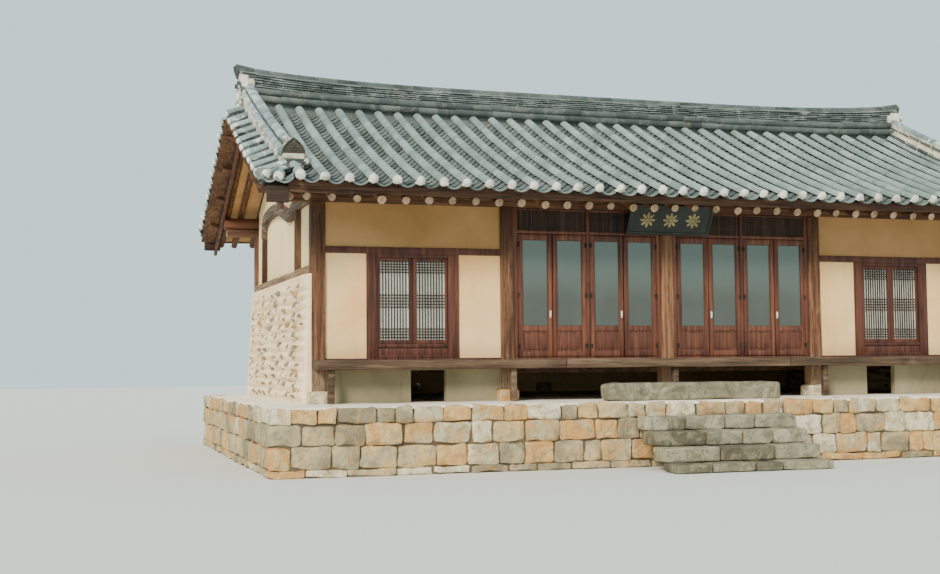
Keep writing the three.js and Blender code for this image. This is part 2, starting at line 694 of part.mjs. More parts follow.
// A leaf hung on its left edge, with its hinge line on the Z axis of the leaf
const PAIR_WIDTH = DOOR_MIDDLE - DOOR.mullion / 2 - DOOR_BAY.left - DOOR.jamb;
const LEAF_WIDTH = (PAIR_WIDTH - 2 * DOOR_GAP.hinge - DOOR_GAP.meeting) / 2;
const HINGE_IN = DOOR_GAP.hinge / 2;
const HINGE_LINE = { in: HINGE_IN, out: Math.sqrt((HINGE.radius + GAP) ** 2 - HINGE_IN ** 2) };

function leafGeometry() {
  const x0 = DOOR_GAP.hinge - HINGE_LINE.in;
  const x1 = x0 + LEAF_WIDTH;
  const y0 = HINGE_LINE.out;
  const y1 = y0 + DOOR.thick;
  const [z0, z1] = [DOOR.bottom, DOOR.top];
  const slab = box(x0, x1, y0, y1, z0, z1);
  const panes = [[z0 + LEAF.foot, LEAF.rail - LEAF.railHalf], [LEAF.rail + LEAF.railHalf, z1 - LEAF.head]];
  const pockets = [];
  for (const [a, b] of panes) {
    pockets.push(box(x0 + DOOR.stile, x1 - DOOR.stile, y0 - PAST, y0 + LEAF.frontPocket, a, b));
    pockets.push(box(x0 + DOOR.stile, x1 - DOOR.stile, y1 - LEAF.backPocket, y1 + PAST, a, b));
  }
  const pieces = [cut(slab, pockets)];
  for (const z of HINGE.heights) {
    const barrel = new THREE.CylinderGeometry(HINGE.radius, HINGE.radius, HINGE.length, 12);
    pieces.push(barrel.rotateX(Math.PI / 2).translate(0, 0, z));
    const half = HINGE.length / 2;
    pieces.push(box(0, HINGE.reach, y0 - HINGE.plate, y0 + 1, z - half, z + half));
  }
  return join(pieces);
}

// Every pair has one leaf on the jamb and one on the mullion
function addDoorLeaves() {
  const hungLeft = leafGeometry();
  const hungRight = mirrored(hungLeft);
  const left = DOOR_BAY.left + DOOR.jamb + HINGE_LINE.in;
  const middle = DOOR.mullion / 2 + HINGE_LINE.in;
  const places = [
    [left, hungLeft], [DOOR_MIDDLE - middle, hungRight],
    [DOOR_MIDDLE + middle, hungLeft], [DOOR_BAY.right - DOOR.jamb - HINGE_LINE.in, hungRight],
  ];
  const y = -DOOR.front - HINGE_LINE.out;
  places.forEach(([x, geometry], index) => {
    const leaf = addMesh(`door_leaf_right_${index + 1}`, geometry, DOOR_WOOD);
    leaf.position.set(x, y, 0);
  });
  places.forEach(([x, geometry], index) => {
    const other = geometry === hungLeft ? hungRight : hungLeft;
    const leaf = addMesh(`door_leaf_left_${index + 1}`, other, DOOR_WOOD);
    leaf.position.set(-x, y, 0);
  });
}

// The name board leans out over the middle post
function addNameBoard() {
  const { width, height, thick, lean } = NAME_BOARD;
  const board = new THREE.BoxGeometry(width, thick, height).translate(0, -thick / 2, height / 2);
  board.rotateX(lean);
  const bottomZ = DOOR_FRAME.lintelBottom + NAME_BOARD.above;
  board.translate(0, -WALL_Y - POST / 2 - GAP, bottomZ);
  addMesh('name_board', board, BOARD);
}

// Gable timbers: a crooked beam, two verticals, a middle rail and a king post
const CROOK = [
  [-2308, 3440], [-1450, 3430], [-1150, 3390], [-750, 3340], [-350, 3440], [100, 3530],
  [600, 3560], [1150, 3530], [1400, 3440], [1500, 3230],
];
const CROOK_HALF = 62;
const CROOK_STEPS = 24;

function crookedBeam(x0, x1, grow) {
  const curve = new THREE.CatmullRomCurve3(CROOK.map(([y, z]) => new THREE.Vector3(0, y, z)));
  const upper = [];
  const lower = [];
  for (let k = 0; k <= CROOK_STEPS; k += 1) {
    const along = curve.getTangent(k / CROOK_STEPS);
    const past = { 0: -grow, [CROOK_STEPS]: grow }[k] ?? 0;
    const at = curve.getPoint(k / CROOK_STEPS).addScaledVector(along, past);
    const half = CROOK_HALF + grow;
    upper.push([at.y - along.z * half, at.z + along.y * half]);
    lower.push([at.y + along.z * half, at.z - along.y * half]);
  }
  const points = [...lower, ...upper.reverse()];
  return acrossX(points, x0 - grow, x1 + grow);
}

const GABLE = { outer: 4870, inner: 4780, wallOuter: 4840, wallInner: 4740, uprightY: 1450 };
const GABLE_BAR = { width: 110, rail: 105 };
const GABLE_HEADS = { front: 3430, rear: 3260, king: 3500 };
const STONE_WALL = { top: 4960, foot: 5040 };

function gableBar(y0, y1, z0, z1, grow) {
  return box(GABLE.inner, GABLE.outer, y0, y1, z0, z1, grow);
}

// The middle rail with the two verticals that stand on it
function gableVerticals(grow = 0) {
  const end = WALL_Y - POST / 2 - GAP;
  const half = GABLE_BAR.width / 2;
  const rail = [STONE_WALL_TOP + GAP, STONE_WALL_TOP + GABLE_BAR.rail];
  const foot = rail[1] - PAST;
  return [
    gableBar(-end, end, ...rail, grow),
    gableBar(-GABLE.uprightY - half, -GABLE.uprightY + half, foot, GABLE_HEADS.front, grow),
    gableBar(GABLE.uprightY - half, GABLE.uprightY + half, foot, GABLE_HEADS.rear, grow),
  ];
}

// The crooked beam over them, with the king post up to the ridge purlin
function gableCrown(grow = 0) {
  const half = GABLE_BAR.width / 2;
  const ridgeFoot = RIDGE_PURLIN_Z - PURLIN.radius - GAP;
  return [
    crookedBeam(GABLE.inner, GABLE.outer, grow),
    gableBar(-half, half, GABLE_HEADS.king, ridgeFoot, grow),
  ];
}

function gableWall() {
  const end = WALL_Y - POST / 2 - GAP;
  const shoulder = WALL_Y - PURLIN.radius - PAST;
  const crown = PURLIN.radius + 3 * PAST;
  const ridgeFoot = RIDGE_PURLIN_Z - PURLIN.radius - GAP;
  const under = (y) => rafterBottom(y) - 1;
  const half = [
    [end, STONE_WALL_TOP + GAP], [end, POST_TOP - GAP], [shoulder, POST_TOP - GAP],
    [shoulder, under(shoulder)], [crown, under(crown)], [crown, ridgeFoot],
  ];
  const points = [...half, ...[...half].reverse().map(([y, z]) => [-y, z])];
  const slab = acrossX(points, GABLE.wallInner, GABLE.wallOuter);
  return cut(slab, [...gableVerticals(GAP), ...gableCrown(GAP)]);
}

function addGables() {
  const verticals = cut(join(gableVerticals()), [crookedBeam(GABLE.inner, GABLE.outer, GAP)]);
  const crown = join(gableCrown());
  const wall = gableWall();
  for (const [side, turn] of [['right', (g) => g], ['left', mirrored]]) {
    addMesh(`gable_frame_${side}`, turn(verticals), OLD_TIMBER);
    addMesh(`crooked_beam_${side}`, turn(crown), OLD_TIMBER);
    addMesh(`gable_wall_${side}`, turn(wall), PLASTER);
  }
}

// The thick stone wall at each gable, wider at its foot
function addStoneWalls() {
  const inner = GABLE.wallInner;
  const { top, foot } = STONE_WALL;
  const post = POST_X[4] + POST / 2 + GAP;
  const end = WALL_Y - POST / 2 - GAP;
  const stone = FOUNDATION / 2 + GAP;
  const high = STONE_WALL_TOP;
  const section = (x) => [[x, PLATFORM_TOP], [foot, PLATFORM_TOP], [top, high], [x, high]];
  const body = acrossY(section(inner), -end, end);
  const facing = acrossY(section(post), -WALL_Y - POST / 2, -end + PAST);
  const tools = [-WALL_Y, WALL_Y].map((y) => {
    const x = POST_X[4];
    return box(x - stone, x + stone, y - stone, y + stone, 0, STONE_TOP + GAP);
  });
  const wall = cut(join([body, facing]), tools);
  addMesh('stone_wall_right', wall, MUD_WALL);
  addMesh('stone_wall_left', mirrored(wall), MUD_WALL);
}

addPlatform();
addSteps();
addPosts();
addRearFrame();
addRearWall();
addFloor();
addLedge();
addBaseWalls();
addWindowBays();
addDoorFrames();
addDoorLeaves();
addNameBoard();
addPurlins();
addCrossBeams();
addGables();
addStoneWalls();
addRafters();
addBargeboards();
addRoofBed();
addRoofTiles();
addMainRidge();
addDescendingRidges();

export default house;
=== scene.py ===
# %% [markdown]
# A traditional tiled house: a timber frame on a platform of squared stones, earth
# plaster, stone gable walls, glazed doors over a narrow ledge and a curved roof.
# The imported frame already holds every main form. This script gives each piece its
# finish, and replaces the plain solids with single tiles, stones, bars and boards.

import math
import random

import bmesh
import bpy
from mathutils import Matrix, Vector, noise


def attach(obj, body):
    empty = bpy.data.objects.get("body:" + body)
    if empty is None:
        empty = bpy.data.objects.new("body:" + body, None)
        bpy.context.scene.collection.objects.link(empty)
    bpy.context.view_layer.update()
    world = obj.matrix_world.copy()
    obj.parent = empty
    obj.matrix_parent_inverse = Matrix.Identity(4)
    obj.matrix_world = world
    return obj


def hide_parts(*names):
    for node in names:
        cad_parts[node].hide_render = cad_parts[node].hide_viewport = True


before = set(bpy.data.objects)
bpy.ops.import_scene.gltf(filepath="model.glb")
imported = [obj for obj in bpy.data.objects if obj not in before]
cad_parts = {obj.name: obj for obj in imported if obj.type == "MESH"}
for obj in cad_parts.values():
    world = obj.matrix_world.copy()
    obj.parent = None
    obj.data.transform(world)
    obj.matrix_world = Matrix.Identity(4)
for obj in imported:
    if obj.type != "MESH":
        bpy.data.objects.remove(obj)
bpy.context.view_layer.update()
SIDES = {"left": -1, "right": 1}

# %% [markdown]
# The camera stands well back and left of the middle, at a person's eye height. Its
# place and turn were solved from the straight lines of posts, eave, ridge and steps,
# which fixes the view exactly. A look-at constraint would be shorter to write, but a
# matrix also keeps the slight roll of the view.

# %% Camera
CAMERA_AT = Vector((-7.891, -18.518, 1.313))
CAMERA_YAW, CAMERA_PITCH, CAMERA_ROLL = 0.3067, 0.0578, -0.0077
SENSOR_WIDTH, PICTURE_WIDTH, FOCAL_PIXELS = 36.0, 940, 1300.65


def camera_matrix():
    level = Vector((math.sin(CAMERA_YAW), math.cos(CAMERA_YAW), 0))
    right = Vector((math.cos(CAMERA_YAW), -math.sin(CAMERA_YAW), 0))
    forward = level * math.cos(CAMERA_PITCH) + Vector((0, 0, math.sin(CAMERA_PITCH)))
    up = right.cross(forward)
    tilted_right = right * math.cos(CAMERA_ROLL) + up * math.sin(CAMERA_ROLL)
    tilted_up = up * math.cos(CAMERA_ROLL) - right * math.sin(CAMERA_ROLL)
    turn = Matrix((tilted_right, tilted_up, -forward)).transposed().to_4x4()
    return Matrix.Translation(CAMERA_AT) @ turn


camera_data = bpy.data.cameras.new("camera")
camera_data.sensor_width = SENSOR_WIDTH
camera_data.lens = FOCAL_PIXELS * SENSOR_WIDTH / PICTURE_WIDTH
camera = bpy.data.objects.new("camera", camera_data)
camera.matrix_world = camera_matrix()
scene = bpy.context.scene
scene.collection.objects.link(camera)
scene.camera = camera
print("lens:", round(camera_data.lens, 2), "mm")

# %% [markdown]
# Soft daylight: a pale sky all round, and one wide sun from the front left, which is
# where the bright gable and the shadows under the eave say that it stands. A wide sun
# has soft shadow edges, as a big studio lamp has.

# %% Light
SKY_COLOUR, SKY_STRENGTH = (0.74, 0.96, 1.0, 1), 1.15
SUN_COLOUR, SUN_STRENGTH = (1.0, 0.92, 0.80), 4.3
SUN_TURN = (math.radians(59), 0, math.radians(-42))
SUN_WIDTH = math.radians(14)


def add_light():
    sky = bpy.data.worlds.new("sky")
    sky.use_nodes = True
    backdrop = sky.node_tree.nodes["Background"]
    backdrop.inputs["Color"].default_value = SKY_COLOUR
    backdrop.inputs["Strength"].default_value = SKY_STRENGTH
    scene.world = sky
    lamp = bpy.data.lights.new("sun", "SUN")
    lamp.energy, lamp.angle, lamp.color = SUN_STRENGTH, SUN_WIDTH, SUN_COLOUR
    sun = bpy.data.objects.new("sun", lamp)
    sun.rotation_euler = SUN_TURN
    scene.collection.objects.link(sun)


add_light()

# %% [markdown]
# Small helpers come before the pieces. A finish is a material put together node by
# node: patterns read the object's own coordinates, so they stay put from any side.

# %% Helper for finishes
def paint(code):
    """A colour written as on a paint card, such as "c8a070", in the renderer's light values."""
    values = [int(code[k:k + 2], 16) / 255 for k in (0, 2, 4)]
    return tuple(((v + 0.055) / 1.055) ** 2.4 if v > 0.04 else v / 12.92 for v in values) + (1,)


class Finish:
    """A material under construction. Each pattern method gives back the socket that it ends in."""

    def __init__(self, name, roughness, gloss):
        self.material = bpy.data.materials.new(name)
        self.material.use_nodes = True
        self.tree = self.material.node_tree
        self.shader = self.tree.nodes["Principled BSDF"]
        self.shader.inputs["Roughness"].default_value = roughness
        self.shader.inputs["Specular IOR Level"].default_value = gloss
        self.where = self.tree.nodes.new("ShaderNodeTexCoord").outputs["Object"]

    def set(self, socket, value):
        if isinstance(value, bpy.types.NodeSocket):
            self.tree.links.new(value, socket)
        else:
            socket.default_value = value

    def node(self, kind, settings=None, **inputs):
        made = self.tree.nodes.new(kind)
        for key, value in (settings or {}).items():
            setattr(made, key, value)
        for key, value in inputs.items():
            self.set(made.inputs[key], value)
        return made

    def stretched(self, scale):
        return self.node("ShaderNodeMapping", Scale=scale, Vector=self.where).outputs["Vector"]

    def noise(self, scale, detail=4.0, rough=0.55, warp=0.0, where=None):
        made = self.node("ShaderNodeTexNoise", Scale=scale, Detail=detail, Roughness=rough,
                         Distortion=warp, Vector=where or self.where)
        return made.outputs["Fac"]

    def cells(self, scale, feature="F1"):
        made = self.node("ShaderNodeTexVoronoi", {"feature": feature}, Scale=scale, Vector=self.where)
        return made.outputs["Distance"]

    def shade(self):
        """The mark that each stone, tile or timber carries."""
        return self.node("ShaderNodeAttribute", {"attribute_name": "shade"}).outputs["Fac"]

    def height(self, vector=None):
        return self.node("ShaderNodeSeparateXYZ", Vector=vector or self.where).outputs["Z"]

    def sum(self, kind, first, second):
        made = self.node("ShaderNodeMath", {"operation": kind})
        self.set(made.inputs[0], first)
        self.set(made.inputs[1], second)
        return made.outputs["Value"]

    def moved(self, value, by, amount):
        """A value moved up or down by how far another one is from 0.5."""
        return self.sum("ADD", value, self.sum("MULTIPLY", self.sum("SUBTRACT", by, 0.5), amount))

    def ramp(self, value, *stops):
        made = self.node("ShaderNodeValToRGB", Fac=value)
        bands = made.color_ramp.elements
        while len(bands) < len(stops):
            bands.new(0.5)
        for band, (place, code) in zip(bands, stops):
            band.position = place
            band.color = paint(code)
        return made.outputs["Color"]

    def band(self, value, low, high):
        """0 below low, 1 above high, and smooth between; the other way round if low is the higher."""
        made = self.node("ShaderNodeMapRange", {"interpolation_type": "SMOOTHSTEP"}, Value=value)
        made.inputs["From Min"].default_value = low
        made.inputs["From Max"].default_value = high
        return made.outputs["Result"]

    def mix(self, share, first, second):
        made = self.node("ShaderNodeMix", {"data_type": "RGBA"})
        self.set(made.inputs["Factor"], share)
        self.set(made.inputs[6], first)
        self.set(made.inputs[7], second)
        return made.outputs[2]

    def patches(self, body, *layers):
        """Lays colours over a body, each where its value passes a band, thinned by its share."""
        for value, low, high, code, share in layers:
            body = self.mix(self.sum("MULTIPLY", self.band(value, low, high), share), body, paint(code))
        return body

    def done(self, colour, *layers):
        """Sets the colour, and bump layers, each a height socket with its depth in metres."""
        self.set(self.shader.inputs["Base Color"], colour)
        normal = None
        for height, depth in layers:
            made = self.node("ShaderNodeBump", Height=height, Distance=depth, Strength=1.0)
            if normal is not None:
                self.set(made.inputs["Normal"], normal)
            normal = made.outputs["Normal"]
        self.set(self.shader.inputs["Normal"], normal)
        return self.material


# %% [markdown]
# The floor is a wide pale sheet. It is part of the studio and not of the house, so it
# shows in the picture and is not attached to the house's body.

# %% Studio floor
FLOOR_REACH, FLOOR_DROP = 60.0, 0.002


def add_floor():
    bm = bmesh.new()
    bmesh.ops.create_grid(bm, x_segments=1, y_segments=1, size=FLOOR_REACH)
    bmesh.ops.translate(bm, vec=(0, 0, -FLOOR_DROP), verts=bm.verts)
    mesh = bpy.data.meshes.new("floor_sheet")
    bm.to_mesh(mesh)
    bm.free()
    pale = Finish("studio_floor", 0.9, 0.2)
    pale.shader.inputs["Base Color"].default_value = paint("dcd9d0")
    mesh.materials.append(pale.material)
    floor = bpy.data.objects.new("floor_sheet", mesh)
    scene.collection.objects.link(floor)


add_floor()

# %% [markdown]
# The timbers are old pine, oiled dark red-brown and bleached where rain reaches them.
# Wood grain is noise pulled out along the piece, so each direction has its finish.

# %% Timber finishes
GRAIN_PULL = {"x": (1.2, 26, 26), "y": (26, 1.2, 26), "z": (26, 26, 1.2)}


def grain_of(wood, along):
    """The broad and the fine grain of a finish."""
    pulled = wood.stretched(GRAIN_PULL[along])
    return wood.noise(1.0, 6.0, 0.62, 0.35, pulled), wood.noise(4.2, 4.0, 0.7, 0.0, pulled)


def timber(name, along, dark, middle, light, wear=0.3, roughness=0.72):
    wood = Finish(name, roughness, 0.35)
    grain, fine = grain_of(wood, along)
    tone = wood.moved(grain, wood.shade(), 0.16)
    body = wood.ramp(tone, (0.3, dark), (0.5, middle), (0.72, light))
    stains = wood.noise(1.3, 5.0, 0.6, 0.4)
    body = wood.patches(body, (stains, 0.52, 0.72, light, wear), (fine, 0.62, 0.72, dark, 1.0))
    return wood.done(body, (grain, 0.004), (wood.band(fine, 0.36, 0.46), 0.002))


TIMBER = {axis: timber("timber_" + axis, axis, "33221a", "5c3d29", "8a6344") for axis in "xy"}
RED_TIMBER = {axis: timber("red_timber_" + axis, axis, "2e1c15", "533224", "774c36", 0.2, 0.6)
              for axis in "xy"}
OLD_TIMBER = timber("old_timber_y", "y", "44352a", "75593f", "a88d6d", 0.5, 0.85)
print("timber finishes:", len(TIMBER) + len(RED_TIMBER) + 1)

# %% [markdown]
# Mineral finishes: ochre earth plaster, white lime, stones in warm tones and fired
# tiles. The stones and the tiles carry a mark named shade, one value for each piece,
# so that neighbours differ as they do in a real wall or roof. On the trough plates and
# the gable mortar the same mark also carries painted shade.

# %% Mineral finishes
def earth_plaster(name, pale, deep, stain, relief=0.004):
    plaster = Finish(name, 0.95, 0.2)
    body = plaster.ramp(plaster.noise(0.8, 5.0, 0.6, 0.3), (0.32, deep), (0.62, pale))
    streaks = plaster.noise(1.6, 4.0, 0.6, 0.2, plaster.stretched((3.2, 3.2, 0.5)))
    body = plaster.patches(body, (streaks, 0.56, 0.78, stain, 0.5))
    trowel, sand = plaster.noise(6, 4.0, 0.55, 0.6), plaster.noise(55, 3.0, 0.6)
    return plaster.done(body, (trowel, relief), (sand, 0.0012))


def lime(name, pale, dirt):
    white = Finish(name, 0.9, 0.2)
    body = white.ramp(white.noise(5, 5.0, 0.65, 0.5), (0.42, pale), (0.7, dirt))
    return white.done(body, (white.noise(14, 5.0, 0.6, 0.3), 0.006))


def stone(name, tones, relief=0.012, lichen="8c9077", rust="c2904f"):
    rock = Finish(name, 0.92, 0.25)
    veins, pits = rock.noise(2.6, 6.0, 0.62, 0.9), rock.noise(22, 6.0, 0.66, 0.2)
    iron, broken = rock.noise(4.6, 5.0, 0.65, 1.1), rock.noise(8.5, 5.0, 0.7, 0.6)
    growth = rock.noise(3.4, 6.0, 0.7, 0.5)
    stops = [(k / (len(tones) - 1), tone) for k, tone in enumerate(tones)]
    body = rock.ramp(rock.moved(rock.shade(), veins, 1.2), *stops)
    body = rock.patches(body, (pits, 0.5, 0.74, "5f5344", 0.45), (iron, 0.52, 0.64, rust, 0.6),
                        (broken, 0.52, 0.62, tones[0], 0.6), (growth, 0.58, 0.7, lichen, 0.35))
    return rock.done(body, (veins, relief), (broken, relief * 2.4), (rock.cells(9), relief),
                     (pits, relief * 0.35))


PLASTER = earth_plaster("ochre_plaster", "ecc795", "dab07c", "c49a6e")
GABLE_PLASTER = earth_plaster("pale_plaster", "f6d9a8", "eac68f", "d3ac76")
# The low wall's grey is plaster darkened as painted shade under the ledge.
LOW_WALL_PLASTER_PAINTED_SHADE = earth_plaster("low_wall_plaster_painted_shade", "9b8f72", "7c7259", "55493a")
PAVING = earth_plaster("paving_earth", "fff4e4", "f3e3cb", "d6c3a6", 0.01)
# The joint earth is painted dark: painted shade deep in the joints between the platform stones.
JOINT_EARTH_PAINTED_SHADE = earth_plaster("joint_earth_painted_shade", "6d5f4b", "4b4134", "3b3229", 0.008)
# The ridge mortar is dark grey as painted shade, where it shows in the joints between the ridge tiles.
RIDGE_MORTAR_PAINTED_SHADE = earth_plaster("ridge_mortar_painted_shade", "7d837d", "575c57", "3a3c38", 0.01)
LIME = lime("lime", "efe9dc", "a39a86")
OLD_LIME = lime("old_lime", "dcd2bb", "8f8672")
ROUGH_LIME = lime("rough_lime", "e9dfca", "84714f")
PLATFORM_STONE = stone("platform_stone", ["85795f", "b0a181", "d2b07a", "c99354", "b8ab8b", "e2d5b4"])
STEP_STONE = stone("step_stone", ["5e5848", "847d66", "a09a80", "736d59", "aca68c"], 0.012,
                   "858a6c", "9c8f70")
RUBBLE = stone("rubble", ["6d695a", "a28f72", "c59c69", "b98a57", "8f8a76", "7f7c6b"], 0.01, "b5a184")
print("materials so far:", len(bpy.data.materials))

# %% [markdown]
# The mesh helpers. Every piece starts as an empty bmesh with a mark named shade. A
# pattern mesh, such as one tile, is stamped into it as often as the piece needs, each
# time with its own place, turn and shade. Instances would be lighter in the file, but
# real copies keep the small differences of handwork and export as they are.

# %% Helpers for meshes
def bench():
    """An empty bmesh with the shade mark, ready for stamps."""
    bm = bmesh.new()
    bm.verts.layers.float.new("shade")
    return bm


def mark_shade(bm, verts, shade):
    mark = bm.verts.layers.float["shade"]
    for vert in verts:
        vert[mark] = shade


def box(first, second):
    """The low and the high corner of a box given by any two opposite corners."""
    return [[pick(pair) for pair in zip(first, second)] for pick in (min, max)]


def block(bm, first, second, shade=0.5, place=None):
    """A box between two corners, carried to its place."""
    low, high = map(Vector, box(first, second))
    verts = bmesh.ops.create_cube(bm, size=1.0)["verts"]
    bmesh.ops.scale(bm, vec=high - low, verts=verts)
    bmesh.ops.translate(bm, vec=(low + high) / 2, verts=verts)
    if place is not None:
        bmesh.ops.transform(bm, matrix=place, verts=verts)
    mark_shade(bm, verts, shade)
    return verts


def outward(bm):
    bmesh.ops.recalc_face_normals(bm, faces=bm.faces[:])


def drawn_out(bm, faces=None):
    """Extrudes some faces, or all of them, and gives back the new vertices and faces."""
    made = bmesh.ops.extrude_face_region(bm, geom=faces or bm.faces[:])["geom"]
    kinds = bmesh.types.BMVert, bmesh.types.BMFace
    return [[each for each in made if isinstance(each, kind)] for kind in kinds]


def next_ring(bm, faces, first):
    """Draws a bar's end faces out once more. Only the first ones stay, as the bar's start."""
    verts, drawn = drawn_out(bm, faces)
    if not first:
        bmesh.ops.delete(bm, geom=faces, context="FACES_ONLY")
    return verts, drawn


def pattern(bm):
    """Keeps a small bmesh as a mesh that can be stamped."""
    outward(bm)
    mesh = bpy.data.meshes.new("pattern")
    bm.to_mesh(mesh)
    bm.free()
    return mesh


def stamp(bm, shape, place, shade=0.5):
    """Adds a copy of a pattern at a place, and gives back its vertices."""
    first = len(bm.verts)
    bm.from_mesh(shape)
    bm.verts.ensure_lookup_table()
    fresh = bm.verts[first:]
    bmesh.ops.transform(bm, matrix=place, verts=fresh)
    mark_shade(bm, fresh, shade)
    return fresh


def at(x=0.0, y=0.0, z=0.0):
    return Matrix.Translation((x, y, z))


def turned(degrees, axis):
    return Matrix.Rotation(math.radians(degrees), 4, axis)


def sized(*scales):
    return Matrix.Diagonal((*scales, 1))


def diced(dice, *ranges):
    """One random value from each (low, high) range."""
    return [dice.uniform(low, high) for low, high in ranges]


def new_piece(name, bm, finish, stands_for=(), soft=35, body="house"):
    """Makes the object of a finished bmesh, smooth but for edges sharper than soft degrees."""
    mesh = bpy.data.meshes.new(name)
    bm.to_mesh(mesh)
    bm.free()
    for each in finish if isinstance(finish, list) else [finish]:
        mesh.materials.append(each)
    mesh.shade_smooth()
    mesh.set_sharp_from_angle(angle=math.radians(soft))
    made = bpy.data.objects.new(name, mesh)
    scene.collection.objects.link(made)
    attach(made, body)
    if stands_for:
        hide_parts(*stands_for)
    print(f"{name}: {sum(len(face.vertices) - 2 for face in mesh.polygons)} triangles")


# Without a seed, the vector noise would take its offsets from the clock.
noise.seed_set(7)


def stroke(point, seed, scale, depth):
    """A small shift of a point by smooth noise, for handmade surfaces."""
    return noise.noise_vector((point + Vector((seed, -seed, seed * 0.5))) * scale) * depth


# %% [markdown]
# One stone is a divided cube, rounded at its edges and broken by noise. The rounding
# is a superellipse: the higher its power, the sharper the edges. Every stone gets its
# own noise, so no two in the wall are the same.

# %% Helpers for stones
EDGE_CROWDING = 0.62
BROAD_BREAKS, FINE_BREAKS, FINE_SHARE = 5.5, 17, 0.45


def rough_stone(bm, first, second, seed, shade, cuts, bite, power, lean=(0, 0, 0)):
    """A rough block between two corners, turned a little about its middle."""
    low, high = map(Vector, box(first, second))
    half = (high - low) / 2
    shape = bmesh.new()
    bmesh.ops.create_cube(shape, size=2.0)
    bmesh.ops.subdivide_edges(shape, edges=shape.edges[:], cuts=cuts, use_grid_fill=True)
    for vert in shape.verts:
        spread = Vector([math.copysign(abs(v) ** EDGE_CROWDING, v) for v in vert.co])
        length = sum(abs(v) ** power for v in spread) ** (1 / power)
        spot = Vector([half[k] * spread[k] / length for k in range(3)])
        fine = stroke(spot, seed + 9, FINE_BREAKS, bite * FINE_SHARE)
        vert.co = spot + stroke(spot, seed, BROAD_BREAKS, bite) + fine
    mesh = pattern(shape)
    place = Matrix.Translation((low + high) / 2)
    for angle, axis in zip(lean, "XYZ"):
        place = place @ turned(angle, axis)
    stamp(bm, mesh, place, shade)
    bpy.data.meshes.remove(mesh)


def course_widths(dice, length, narrow, wide):
    """Random widths that fill a length exactly."""
    widths = []
    while sum(widths) < length:
        widths.append(dice.uniform(narrow, wide))
    scale = length / sum(widths)
    return [width * scale for width in widths]


# %% [markdown]
# The platform is four courses of squared stones round rammed earth, with a skin of
# pale earth on top. The stones run on by turns at the corners, as a mason bonds them.
# The inner core, set back behind the faces, closes the joints with mortar whose dark colour is painted shade
# deep in the joints.

# %% Platform
POST_X = [-4.8, -2.3, 0.0, 2.3, 4.8]
WALL_Y = 2.4
FOUNDATION_HALF, FOUNDATION_TOP = 0.145, 0.965
PLATFORM_TOP = 0.81
PLATFORM_X, PLATFORM_FRONT, PLATFORM_BACK = 5.61, 3.69, 3.30
COURSES = [0.0, 0.09, 0.355, 0.61, 0.802]
FOOT_WIDTHS, COURSE_WIDTHS = (0.3, 0.62), (0.2, 0.52)
STONE_DEPTH, JOINT, CORE_INSET = 0.26, 0.006, 0.045
SKIN, SKIN_INSET = 0.03, 0.02


def lay_side(bm, dice, first, last, bond, place, cuts):
    """Courses along one side. place(along, depth, height) gives a point of the platform."""
    for row, (low, high) in enumerate(zip(COURSES, COURSES[1:])):
        inset = bond if row % 2 else 0.0
        along, end = first + inset, last - inset
        for width in course_widths(dice, end - along, *(COURSE_WIDTHS if row else FOOT_WIDTHS)):
            wobble = dice.uniform(-0.008, 0.008) if row else 0.0
            near = place(along + JOINT, dice.uniform(-0.022, 0.002), low + JOINT * 0.7)
            far = place(along + width - JOINT, -STONE_DEPTH, high + wobble - JOINT * 0.7)
            lean = diced(dice, *[(-1.2, 1.2)] * 3)
            rough_stone(bm, near, far, dice.uniform(0, 90), dice.random(), cuts, 0.026, 11.0, lean)
            along += width


def build_platform(dice):
    bm = bench()
    x, front, back = PLATFORM_X, PLATFORM_FRONT, PLATFORM_BACK
    lay_side(bm, dice, -x, x, STONE_DEPTH, lambda along, depth, z: (along, -front - depth, z), 5)
    lay_side(bm, dice, -x, x, STONE_DEPTH, lambda along, depth, z: (along, back + depth, z), 3)
    for side in SIDES.values():
        lay_side(bm, dice, -front + STONE_DEPTH, back - STONE_DEPTH, -STONE_DEPTH,
                 lambda along, depth, z: (side * (x + depth), along, z), 4)
    half = FOUNDATION_HALF
    for post_x in POST_X:
        for y in (-WALL_Y, WALL_Y):
            rough_stone(bm, (post_x - half, y - half, PLATFORM_TOP - SKIN),
                        (post_x + half, y + half, FOUNDATION_TOP),
                        *diced(dice, (0, 90), (0.3, 0.9)), 4, 0.008, 7.0)
    for vert in bm.verts:
        vert.co.z = max(vert.co.z, 0.0)
    return bm


new_piece("platform_stones", build_platform(random.Random(11)), PLATFORM_STONE,
          ["stone_platform"])


# %% Platform core and top
def build_paving():
    """The skin of trodden earth: a fine grid, uneven on top and ragged at its rim."""
    bm = bench()
    bmesh.ops.create_grid(bm, x_segments=150, y_segments=90, size=1.0)
    middle = (PLATFORM_BACK - PLATFORM_FRONT) / 2
    reach_x, reach_y = PLATFORM_X - SKIN_INSET, (PLATFORM_BACK + PLATFORM_FRONT) / 2 - SKIN_INSET
    for vert in bm.verts:
        at_rim = max(abs(vert.co.x), abs(vert.co.y)) > 0.99
        spot = Vector((vert.co.x * reach_x, middle + vert.co.y * reach_y, 0))
        if at_rim:
            ragged = 0.03 * (noise.noise(spot * 3.1) + 0.6 * noise.noise(spot * 9.0)) - 0.022
            spot.x *= 1 + ragged / PLATFORM_X
            spot.y = middle + (spot.y - middle) * (1 + ragged / PLATFORM_FRONT)
        spot.z = PLATFORM_TOP - 0.002 + 0.005 * noise.noise(spot * 1.7) - (0.008 if at_rim else 0)
        vert.co = spot
    lower, _ = drawn_out(bm)
    bmesh.ops.translate(bm, vec=(0, 0, -SKIN), verts=lower)
    outward(bm)
    return bm


core = bench()
block(core, (-PLATFORM_X + CORE_INSET, -PLATFORM_FRONT + CORE_INSET, 0),
      (PLATFORM_X - CORE_INSET, PLATFORM_BACK - CORE_INSET, PLATFORM_TOP - SKIN))
new_piece("platform_core", core, JOINT_EARTH_PAINTED_SHADE)
new_piece("platform_top", build_paving(), PAVING, soft=50)
